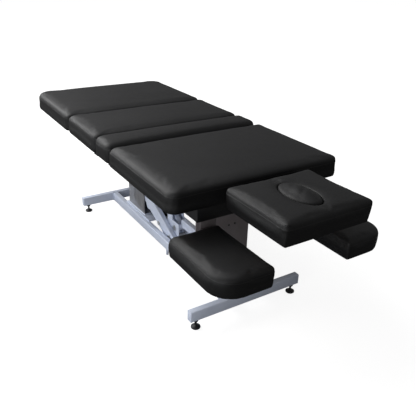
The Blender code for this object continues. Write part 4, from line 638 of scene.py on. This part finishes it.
# each fold is its place, the heading that it is pressed in against, its depth and its widths
headValues = {
    "node": "head_cushion", "body": "head", "radii": (0.012,) * 4,
    "edge": (0.012, 0.018, 0.012, 0.008), "crown": 0.0060, "lean": 0.008, "voxel": 0.0048,
    "proud": ((0.001, 0.008, 0.0), (0.004, 0.009, 0.0110)), "cap": 0.0045, "dips": (),
    "welt": 0.030, "seed": 5, "lip": 0.009, "holeRings": 9, "lipRings": 7, "topRings": 16,
    "folds": (((0.706, -0.006, 0.645), (0, 0, 1), 0.0070, (0.015, 0.015, 0.015)),
              ((0.994, -0.190, 0.627), (0.7, -0.7, 0.0), 0.0065, (0.012, 0.014, 0.0042)),
              ((0.985, -0.189, 0.606), (0.2, -1.0, 0.0), 0.0025, (0.009, 0.009, 0.009)))}
# each dent has its distance from the dome's middle, its width and its share of the depth
plugValues = {
    "node": "face_plug", "body": "plug", "radii": None, "gap": 0.0006, "dome": 0.015,
    "edge": 0.015, "proud": ((0.0, 0.0, 0.0), (0.0, 0.0, 0.0150)), "cap": 0.0045,
    "voxel": 0.0040, "seed": 7, "fill": 0.95, "sides": 96, "domeRings": 16, "edgeRings": 8,
    "sideRings": 8, "footHeight": 0.004, "foot": ((0.003, 0.0008), (0.006, 0.0)),
    "wave": 0.0010, "waveLength": 0.06, "dent": 0.0026, "heading": (0.8, 0.6),
    "dents": ((0.012, 0.007, 1.0), (-0.030, 0.009, 0.7))}


def makeHeadPad():
    # the top runs from the outer outline to the oval hole as a blend of the two, then the hole's
    # lining goes down; the underside returns to the pocket's rim
    h = headValues
    low, high = slack(h)
    plugLow, plugHigh = (np.array(corner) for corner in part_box(plugValues["node"]))
    hole = (plugLow + plugHigh)[:2] / 2
    half = (plugHigh - plugLow)[:2] / 2 + plugValues["gap"]
    height = high[2] - low[2]
    middle = (low[:2] + high[:2]) / 2
    pocket = coverValues["thinPocket"]
    rows = [padOutline(low, high, h["radii"], insets, levels)
            for insets, levels in padProfile(h["edge"], height, pocket, h["lean"])]
    outer = rows[0]
    angle = np.arctan2((outer[:, 1] - middle[1]) / (high[1] - low[1]),
                       (outer[:, 0] - middle[0]) / (high[0] - low[0]))
    oval = np.stack([np.cos(angle), np.sin(angle)], axis=1)
    rings = []
    for level in np.linspace(pocket, height - h["lip"], h["holeRings"]):
        rings.append(levelRing(hole + oval * half, level))
    for turn in np.linspace(0, math.pi / 2, h["lipRings"])[1:]:
        grow = h["lip"] * (1 - math.cos(turn))
        level = height - h["lip"] * (1 - math.sin(turn))
        rings.append(levelRing(hole + oval * (half + grow), level))
    lip = hole + oval * (half + h["lip"])
    for share in np.linspace(0, 1, h["topRings"])[1:-1]:
        rings.append(levelRing(lip * (1 - share) + outer[:, :2] * share, height))
    rings += rows
    for share in (*coverValues["floorShares"], 0.0):
        flat = (hole + oval * half) * (1 - share) + rows[-1][:, :2] * share
        rings.append(levelRing(flat, pocket))
    points = worked(rings, low, high, h, pocket)
    faces = gridFaces(*points.shape[:2])
    piece = meshPiece("headPad", points.reshape(-1, 3), faces, materials["vinyl"])
    standFor(piece, h["node"], h["body"])
    covers.append({"piece": piece, "values": h, "hole": (hole, half)})


def makePlug():
    # an oval turned form: the radius share runs along a dome, round the edge and down the side,
    # and two shallow dents cross the dome
    h = plugValues
    low, high = grown(h)
    rise = coverValues["shrinkTop"]
    middle = (low + high)[:2] / 2
    half = (high - low)[:2] / 2
    top, bottom = high[2] - rise, low[2]
    angle = turnAngles(h["sides"])
    oval = np.stack([np.cos(angle), np.sin(angle)], axis=1)
    inner = half - h["edge"]
    rings = [(inner * share, top - h["dome"] * share ** 2)
             for share in np.linspace(0, 1, h["domeRings"])[1:]]
    for turn in np.linspace(0, math.pi / 2, h["edgeRings"])[1:]:
        rings.append((inner + h["edge"] * math.sin(turn),
                      top - h["dome"] - h["edge"] * (1 - math.cos(turn))))
    lowest = top - h["dome"] - h["edge"]
    for share in np.linspace(0, 1, h["sideRings"])[1:]:
        rings.append((half, lowest + share * (bottom + h["footHeight"] - lowest)))
    rings += [(half - inset, bottom + level) for inset, level in h["foot"]]
    rings.append((half / 2, bottom))
    points = np.array([levelRing(middle + oval * reach, level) for reach, level in rings])
    lift = np.clip((points[..., 2] - lowest) / (top - lowest), 0, 1)
    along = (points[..., 0] - middle[0]) * h["heading"][0] \
        + (points[..., 1] - middle[1]) * h["heading"][1]
    for place, width, share in h["dents"]:
        points[..., 2] -= share * h["dent"] * np.exp(-((along - place) / width) ** 2) * lift
    points[..., 2] += waves(points, h["seed"], h["waveLength"], h["wave"]) * lift
    whole, faces = closedRings(points, np.array([*middle, points[0, :, 2].mean()]),
                               np.array([*middle, bottom]))
    piece = meshPiece("facePlugPad", whole, faces, materials["vinyl"])
    standFor(piece, h["node"], h["body"])
    covers.append({"piece": piece, "values": h, "hole": None})


makeHeadPad()
makePlug()
print("face rest covers cut")


fillValues = {
    "netEasing": 3, "still": 0.016, "free": 0.040, "holeStill": 1.03, "holeFree": 0.16,
    "heldBelow": 0.02, "quality": 5, "mass": 0.25, "bending": 5.0, "pressure": 4.0, "frames": 20,
    "room": 0.0012, "easing": 6, "easingShare": 0.5, "levels": 10, "freeAbove": 0.9,
}


def coordinates(mesh):
    points = np.empty(len(mesh.vertices) * 3, np.float32)
    mesh.vertices.foreach_get("co", points)
    return points.reshape(-1, 3).astype(float)


def eased(piece, times):
    easing = piece.modifiers.new("easing", "SMOOTH")
    easing.factor = fillValues["easingShare"]
    easing.iterations = times
    return easing


def applied(piece):
    # the piece's modifiers are applied to its mesh
    graph = bpy.context.evaluated_depsgraph_get()
    piece.data = bpy.data.meshes.new_from_object(piece.evaluated_get(graph))
    piece.modifiers.clear()


def remeshCover(cover):
    # an even net of small quads for the cloth, with the underside held
    v = fillValues
    piece = cover["piece"]
    net = piece.modifiers.new("net", "REMESH")
    net.mode = "VOXEL"
    net.voxel_size = cover["values"]["voxel"]
    net.use_smooth_shade = True
    eased(piece, v["netEasing"])
    applied(piece)
    low, _ = grown(cover["values"])
    cover["start"] = coordinates(piece.data)
    level = cover["start"][:, 2] - low[2]
    share = np.clip((level - v["still"]) / (v["free"] - v["still"]), 0, 1)
    if cover["hole"]:
        hole, half = cover["hole"]
        apart = np.linalg.norm((cover["start"][:, :2] - hole) / half, axis=1)
        share *= np.clip((apart - v["holeStill"]) / v["holeFree"], 0, 1)
    cover["share"] = share * share * (3 - 2 * share)
    held = piece.vertex_groups.new(name="held")
    held.add(np.flatnonzero(cover["share"] < v["heldBelow"]).tolist(), 1.0, "REPLACE")
    settings = piece.modifiers.new("cloth", "CLOTH").settings
    settings.quality = v["quality"]
    settings.mass = v["mass"]
    settings.bending_stiffness = v["bending"]
    settings.use_pressure = True
    settings.uniform_pressure_force = v["pressure"]
    settings.effector_weights.gravity = 0
    settings.vertex_group_mass = "held"


def fillCovers():
    # every cover is blown up at once; a point then moves by cap * tanh(distance / cap), and less
    # near the underside and the face rest's hole
    v = fillValues
    scene = bpy.context.scene
    for cover in covers:
        remeshCover(cover)
    for number in range(1, v["frames"] + 1):
        scene.frame_set(number)
    graph = bpy.context.evaluated_depsgraph_get()
    for cover in covers:
        blown = coordinates(cover["piece"].evaluated_get(graph).data)
        moved = blown - cover["start"]
        size = np.maximum(np.linalg.norm(moved, axis=1, keepdims=True), sameSpot / 1000)
        cap = cover["values"]["cap"]
        moved = moved / size * cap * np.tanh(size / cap) * cover["share"][:, None]
        cover["blown"] = cover["start"] + moved
        cover["median"] = float(np.median(size[cover["share"] > v["freeAbove"]]))
    for cover in covers:
        settle(cover)
        print(cover["piece"].name, "filled, moved", round(cover["median"], 4))
    scene.frame_set(1)


def settle(cover):
    # the filled cover keeps its broad folds: the finest wrinkles are eased away where it is free
    v = fillValues
    piece = cover["piece"]
    piece.modifiers.clear()
    piece.vertex_groups.clear()
    low, high = grown(cover["values"])
    placed(piece, np.clip(cover["blown"], low - v["room"], high + v["room"]))
    free = piece.vertex_groups.new(name="free")
    for level in range(1, v["levels"] + 1):
        chosen = np.flatnonzero((cover["share"] * v["levels"]).round() == level)
        free.add(chosen.tolist(), level / v["levels"], "REPLACE")
    eased(piece, v["easing"]).vertex_group = "free"
    applied(piece)
    piece.vertex_groups.clear()
    points = fitted(coordinates(piece.data), low, high)
    placed(piece, folded(points, cover["values"].get("folds", ())))
    shadeSmooth(piece.data)
    finer = piece.modifiers.new("finer", "SUBSURF")
    finer.levels = 1
    finer.render_levels = 1


def placed(piece, points):
    piece.data.vertices.foreach_set("co", points.astype(np.float32).ravel())
    piece.data.update()


def fitted(points, low, high):
    # a cover stretched along each axis until it fills its box
    least, most = points.min(axis=0), points.max(axis=0)
    return low + (points - least) / (most - least) * (high - low)


def folded(points, folds):
    # each fold presses the cover in against its heading by depth * exp(-r^2 / 2), where r counts
    # the distance from its place in its widths along x, y and z
    for place, heading, depth, widths in folds:
        heading = np.array(heading) / np.linalg.norm(heading)
        apart = (((points - np.array(place)) / np.array(widths)) ** 2).sum(axis=1)
        points -= (depth * np.exp(-apart / 2))[:, None] * heading
    return points


fillCovers()


seamValues = {"radius": 0.0012, "sink": 0.0006, "pitch": 0.0060, "step": 0.0015, "sides": 6,
              "ripple": 0.16, "outside": 0.02, "ray": 0.08, "turnEasing": 30, "pathEasing": 12}


def closedRun(line):
    # a line closed by its first point, and the length run up to each of its points
    line = np.vstack([line, line[:1]])
    return line, np.concatenate([[0], np.cumsum(np.linalg.norm(np.diff(line, axis=0), axis=1))])


def evenly(run, step):
    return np.linspace(0, run[-1], int(run[-1] / step) + 1)[:-1]


def spotsAt(places, run, line):
    return np.stack([np.interp(places, run, column) for column in line.T], axis=1)


def chord(path):
    return np.roll(path, -1, axis=0) - np.roll(path, 1, axis=0)


def rounded(path, times):
    for _ in range(times):
        path = (np.roll(path, 1, axis=0) + path * 2 + np.roll(path, -1, axis=0)) / 4
    return path


def unit(vectors):
    return vectors / np.linalg.norm(vectors, axis=1, keepdims=True)


def tubeAlong(path, outward, radius, sides):
    # a tube: each ring is radius * (cos a * outward + sin a * across), across = tangent x outward
    tangent = unit(chord(path))
    outward = unit(outward - (outward * tangent).sum(axis=1, keepdims=True) * tangent)
    across = np.cross(tangent, outward)
    angle = turnAngles(sides)[None, :, None]
    return path[:, None] + radius[:, None, None] * (np.cos(angle) * outward[:, None]
                                                    + np.sin(angle) * across[:, None])


def tubePiece(name, rings, material):
    rings = np.concatenate([rings, rings[:1]])
    return meshPiece(name, rings.reshape(-1, 3), gridFaces(*rings.shape[:2]), materials[material])


def makeSeam(cover):
    # the sewn welt: a thin cord round the pad, laid on the cover where rays from outside meet it,
    # with its radius rippling once for each stitch
    v = seamValues
    piece = cover["piece"]
    low, high = grown(cover["values"])
    points = coordinates(piece.data)
    tree = BVHTree.FromPolygons(points.tolist(), [list(f.vertices) for f in piece.data.polygons])
    level = high[2] - cover["values"]["welt"]
    line, run = closedRun(padOutline(low, high, cover["values"]["radii"], -v["outside"], level))
    places = evenly(run, v["step"])
    path = spotsAt(places, run, line)
    inward = unit(rounded(np.cross([0.0, 0.0, 1.0], chord(path)), v["turnEasing"]))
    found = [tree.ray_cast(Vector(start), Vector(heading), v["ray"])[0]
             for start, heading in zip(path, inward)]
    met = np.array([spot is not None for spot in found])
    places, inward = places[met], inward[met]
    path = rounded(np.array([list(spot) for spot in found if spot is not None]), v["pathEasing"])
    radius = v["radius"] * (1 + v["ripple"] * np.cos(2 * math.pi * places / v["pitch"]))
    rings = tubeAlong(path + inward * v["sink"], -inward, radius, v["sides"])
    seam = tubePiece(piece.name + "_seam", rings, "thread")
    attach(seam, cover["values"]["body"])


sewnCovers = [cover for cover in covers if cover["values"]["radii"]]
for sewnCover in sewnCovers:
    makeSeam(sewnCover)
print("seams laid")


# rows of (inset, level) for the hem's section; the rows inside "from" have the uneven edge
hemValues = {"section": ((0.0085, 0.0012), (0.0115, 0.0000), (0.0200, -0.00022),
                         (0.0330, -0.00024), (0.0335, 0.0006), (0.0115, 0.0010)),
             "wave": 0.0048, "waveLength": 0.05, "from": 0.03, "inset": 0.0265, "pitch": 0.026,
             "skew": 0.35, "length": 0.0105, "wire": 0.0006, "sunk": 0.001, "proud": 0.00028,
             "ahead": 0.002}
boxFaces = ((0, 1, 2, 3), (4, 7, 6, 5), (0, 4, 5, 1), (1, 5, 6, 2), (2, 6, 7, 3), (3, 7, 4, 0))


def makeHem(cover):
    # the cover's turned-in edge under the board: a flat closed ring of the section's (inset,
    # level) rows, with an uneven inner edge, and wire staples laid across it at random slants
    v = hemValues
    p = cover["values"]
    low, high = (np.array(corner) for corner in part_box(p["node"]))
    rings = []
    for inset, level in v["section"]:
        ring = padOutline(low, high, p["radii"], inset, level)
        if inset > v["from"]:
            away = unit(ring[:, :2] - (low + high)[:2] / 2)
            ring[:, :2] += away * waves(ring[:, :2], p["seed"], v["waveLength"], v["wave"])[:, None]
        rings.append(ring + np.array([0.0, 0.0, low[2]]))
    rings.append(rings[0])
    points = np.array(rings)
    hem = meshPiece(cover["piece"].name + "_hem", points.reshape(-1, 3),
                    gridFaces(*points.shape[:2]), materials["vinyl"])
    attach(hem, p["body"])
    line, run = closedRun(padOutline(low, high, p["radii"], v["inset"], 0.0)[:, :2])
    places = np.arange(v["pitch"] / 2, run[-1], v["pitch"])
    spots = spotsAt(places, run, line)
    headings = spotsAt(places + v["ahead"], run, line) - spots
    chance = np.random.default_rng(p["seed"])
    corners, faces = [], []
    for spot, heading in zip(spots, headings):
        turn = math.atan2(heading[1], heading[0]) + chance.normal(0, v["skew"])
        along = np.array([math.cos(turn), math.sin(turn)]) * v["length"] / 2
        across = np.array([-math.sin(turn), math.cos(turn)]) * v["wire"] / 2
        start = len(corners)
        for level in (low[2] + v["sunk"], low[2] - v["proud"]):
            for ends, sides in ((-1, -1), (1, -1), (1, 1), (-1, 1)):
                corners.append([*(spot + along * ends + across * sides), level])
        faces += [[start + corner for corner in quad] for quad in boxFaces]
    staples = meshPiece(cover["piece"].name + "_staples", np.array(corners), faces,
                        materials["zinc"])
    shadeSmooth(staples.data, False)
    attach(staples, p["body"])


for sewnCover in sewnCovers:
    makeHem(sewnCover)
print("hems stapled")


# where the rails end on the crossbars, and the column's foot
weldValues = {"radius": 0.0024, "ripple": 0.22, "pitch": 0.0032, "step": 0.0008, "sides": 8,
              "railEnds": {"head": 0.568, "leg": -0.628},
              "railSides": {"near": (-0.097, -0.067), "far": (0.067, 0.097)},
              "railLevels": (0.043, 0.090), "columnEnds": (-0.465, -0.265),
              "columnSides": (-0.066, 0.066), "columnLevel": 0.0972}


def makeWeld(name, corners):
    # a bead of weld round a joint: a tube whose radius ripples once for each puddle,
    # radius * (1 + ripple * |sin(pi * run / pitch)|)
    v = weldValues
    line, run = closedRun(np.array(corners))
    places = evenly(run, v["step"])
    path = spotsAt(places, run, line)
    radius = v["radius"] * (1 + v["ripple"] * np.abs(np.sin(math.pi * places / v["pitch"])))
    rings = tubeAlong(path, path - path.mean(axis=0), radius, v["sides"])
    weld = tubePiece(name, rings, "base_paint")
    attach(weld, "base")


def makeWelds():
    v = weldValues
    for end, x in v["railEnds"].items():
        for side, (y0, y1) in v["railSides"].items():
            z0, z1 = v["railLevels"]
            makeWeld("weld_rail_" + side + "_" + end,
                     ((x, y0, z0), (x, y1, z0), (x, y1, z1), (x, y0, z1)))
    (x0, x1), (y0, y1), z = v["columnEnds"], v["columnSides"], v["columnLevel"]
    makeWeld("weld_column_foot", ((x0, y0, z), (x1, y0, z), (x1, y1, z), (x0, y1, z)))


makeWelds()
print("welds run")


# places are (y, z); the rim's rows are (share of the socket's radius, share of the height)
screwValues = {"radius": 0.0046, "height": 0.0024, "socket": 0.0020, "depth": 0.0016,
               "sunk": 0.0008, "sides": 24, "rim": ((1.0, 0.93), (1.06, 0.97)), "collar": 0.56,
               "domeRings": 7, "domePower": 0.6, "domeGain": 1.05, "face": 0.3901,
               "places": ((-0.061, 0.3096), (-0.030, 0.3078), (0.030, 0.3078), (0.061, 0.3096))}


def makeScrews():
    # button heads: height * gain * (1 - (r / radius)^2)^power outside a six-sided socket
    v = screwValues
    angle, facet = turnAngles(v["sides"]), math.pi / 3
    six = v["socket"] * math.cos(facet / 2) / np.cos((angle % facet) - facet / 2)
    floor = v["height"] - v["depth"]
    rows = [(six * 0, floor), (six * 0.98, floor)]
    rows += [(six * reach, v["height"] * level) for reach, level in v["rim"]]
    for share in np.linspace(v["collar"], 1, v["domeRings"]):
        dome = max(0.0, 1 - share ** 2) ** v["domePower"] * v["domeGain"]
        rows.append((v["radius"] * share, v["height"] * dome))
    rows += [(v["radius"], -v["sunk"]), (0.0, -v["sunk"])]
    for number, (y, z) in enumerate(v["places"]):
        points = np.array([np.column_stack([np.full(v["sides"], v["face"] + level),
                                            y + reach * np.cos(angle), z + reach * np.sin(angle)])
                           for reach, level in rows])
        screw = meshPiece("plateScrew_" + str(number), points.reshape(-1, 3),
                          gridFaces(*points.shape[:2]), materials["black_plastic"])
        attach(screw, "carriage")


makeScrews()
print("plate screws set")


def standing(place, turn):
    return Matrix.Translation(place) @ Matrix(turn.tolist()).to_4x4()


viewValues = {"place": (1.980, -1.103, 1.332), "yaw": 2.57, "pitch": 0.451, "roll": 0.028,
              "focal": 506.35, "frame": 416.0, "sensor": 36.0, "nearest": 0.01}


def aimCamera():
    # the fitted camera: focal and frame are in the photograph's pixels
    v = viewValues
    ahead = np.array([math.cos(v["yaw"]) * math.cos(v["pitch"]),
                      math.sin(v["yaw"]) * math.cos(v["pitch"]), -math.sin(v["pitch"])])
    cosRoll, sinRoll = math.cos(v["roll"]), math.sin(v["roll"])
    roll = np.array([[cosRoll, -sinRoll, 0], [sinRoll, cosRoll, 0], [0, 0, 1]])
    data = bpy.data.cameras.new("camera")
    data.sensor_width = v["sensor"]
    data.lens = v["focal"] / v["frame"] * v["sensor"]
    data.clip_start = v["nearest"]
    camera = putInScene("camera", data)
    camera.matrix_world = standing(v["place"], lookAlong(ahead) @ roll)
    bpy.context.scene.camera = camera


white = (1.0, 1.0, 1.0)
lampValues = {
    "key": {"place": (-2.3, -1.8, 2.3), "target": (0.0, -0.1, 0.5), "size": (2.4, 1.6),
            "power": 84.0, "colour": white},
    "legCard": {"place": (-3.7, -1.0, 1.9), "target": (0.3, -0.1, 0.6), "size": (1.6, 0.9),
                "power": 9.0, "colour": white},
    "overhead": {"place": (-0.8, -0.9, 3.0), "target": (-0.1, -0.1, 0.4), "size": (2.4, 1.8),
                 "power": 38.0, "colour": white},
    "nearFill": {"place": (-0.3, -3.0, 0.7), "target": (-0.1, 0.0, 0.3), "size": (2.2, 0.9),
                 "power": 16.0, "colour": (0.95, 0.975, 1.0)},
    "headFill": {"place": (2.0, -2.8, 0.8), "target": (0.3, 0.0, 0.3), "size": (1.6, 1.2),
                 "power": 26.0, "colour": (0.97, 0.98, 1.0)},
}


def addLamp(name):
    v = lampValues[name]
    data = bpy.data.lights.new(name, "AREA")
    data.shape = "RECTANGLE"
    data.size, data.size_y = v["size"]
    data.energy = v["power"]
    data.color = v["colour"]
    direction = np.array(v["target"], float) - np.array(v["place"], float)
    putInScene(name, data).matrix_world = standing(v["place"], lookAlong(direction))


def lookAlong(direction):
    # the turn that points -Z along a direction, with +Y as near up as can be
    back = -direction / np.linalg.norm(direction)
    side = np.cross([0.0, 0.0, 1.0], back)
    side /= np.linalg.norm(side)
    return np.column_stack([side, np.cross(back, side), back])


stageValues = {"worldLight": 0.22, "worldGloss": 0.05, "floorLow": 0.40, "floorHigh": 0.43,
               "floorGrain": 900.0, "floorRough": 0.9, "floorSpecular": 0.1, "floorGlow": 0.86,
               "floorGloss": 0.03, "floorDim": 0.8, "floorSide": 16.0, "floorDrop": 0.0006,
               "whiteFrom": 1.3, "whiteTo": 3.6}


def grey(level):
    return (level, level, level, 1.0)


def makeWorld():
    # white to the camera, dimmer as the light that falls on the object and as its reflection
    v = stageValues
    world = bpy.data.worlds.new("studio")
    world.use_nodes = True
    bpy.context.scene.world = world
    bpy.context.scene.view_settings.view_transform = "Standard"
    nodes = Nodes(world.node_tree)
    background = nodes.tree.nodes["Background"]
    strength = nodes.ray("Camera").most(nodes.ray("Transmission")) \
        .most(nodes.ray("Glossy") * v["worldGloss"]).most(v["worldLight"])
    nodes.put(background, "Color", grey(1.0))
    nodes.put(background, "Strength", strength)


def makeFloor():
    # a wide pale sheet with a glow of its own, which is white to the camera far away and takes the
    # object's shadow near by
    v = stageValues
    paint = Paint("floorPaper")
    paper = paint.spread(paint.noise(v["floorGrain"], 2.0))
    colour = paint.mixColour(paper, grey(v["floorLow"]), grey(v["floorHigh"]))
    glossy = paint.ray("Glossy")
    colour = paint.mixColour(glossy * v["floorDim"], colour, grey(0.0))
    apart = paint.add("VectorMath", {"operation": "LENGTH"}, {0: paint.objectPlace()},
                      output="Value")
    level = paint.between(apart, v["whiteFrom"], v["whiteTo"], v["floorGlow"], 1.0)
    seen = paint.ray("Camera") + paint.ray("Transmission") + glossy * v["floorGloss"]
    shine = paint.mixColour(seen.clamp() * level, grey(0.0), grey(1.0))
    paint.put(paint.shader, "Emission Color", shine)
    paint.put(paint.shader, "Emission Strength", 1.0)
    material = paint.finish(colour=colour, roughness=v["floorRough"],
                            specular=v["floorSpecular"])
    across = np.linspace(-v["floorSide"], v["floorSide"], 3)
    x, y = np.meshgrid(across, across, indexing="ij")
    points = np.stack([x, y, np.full_like(x, -v["floorDrop"])], axis=-1).reshape(-1, 3)
    faces = [(0, 3, 4, 1), (1, 4, 5, 2), (3, 6, 7, 4), (4, 7, 8, 5)]
    meshPiece("floor", points, faces, material)


aimCamera()
makeWorld()
for lampName in lampValues:
    addLamp(lampName)
makeFloor()
print("camera, lamps and floor set")
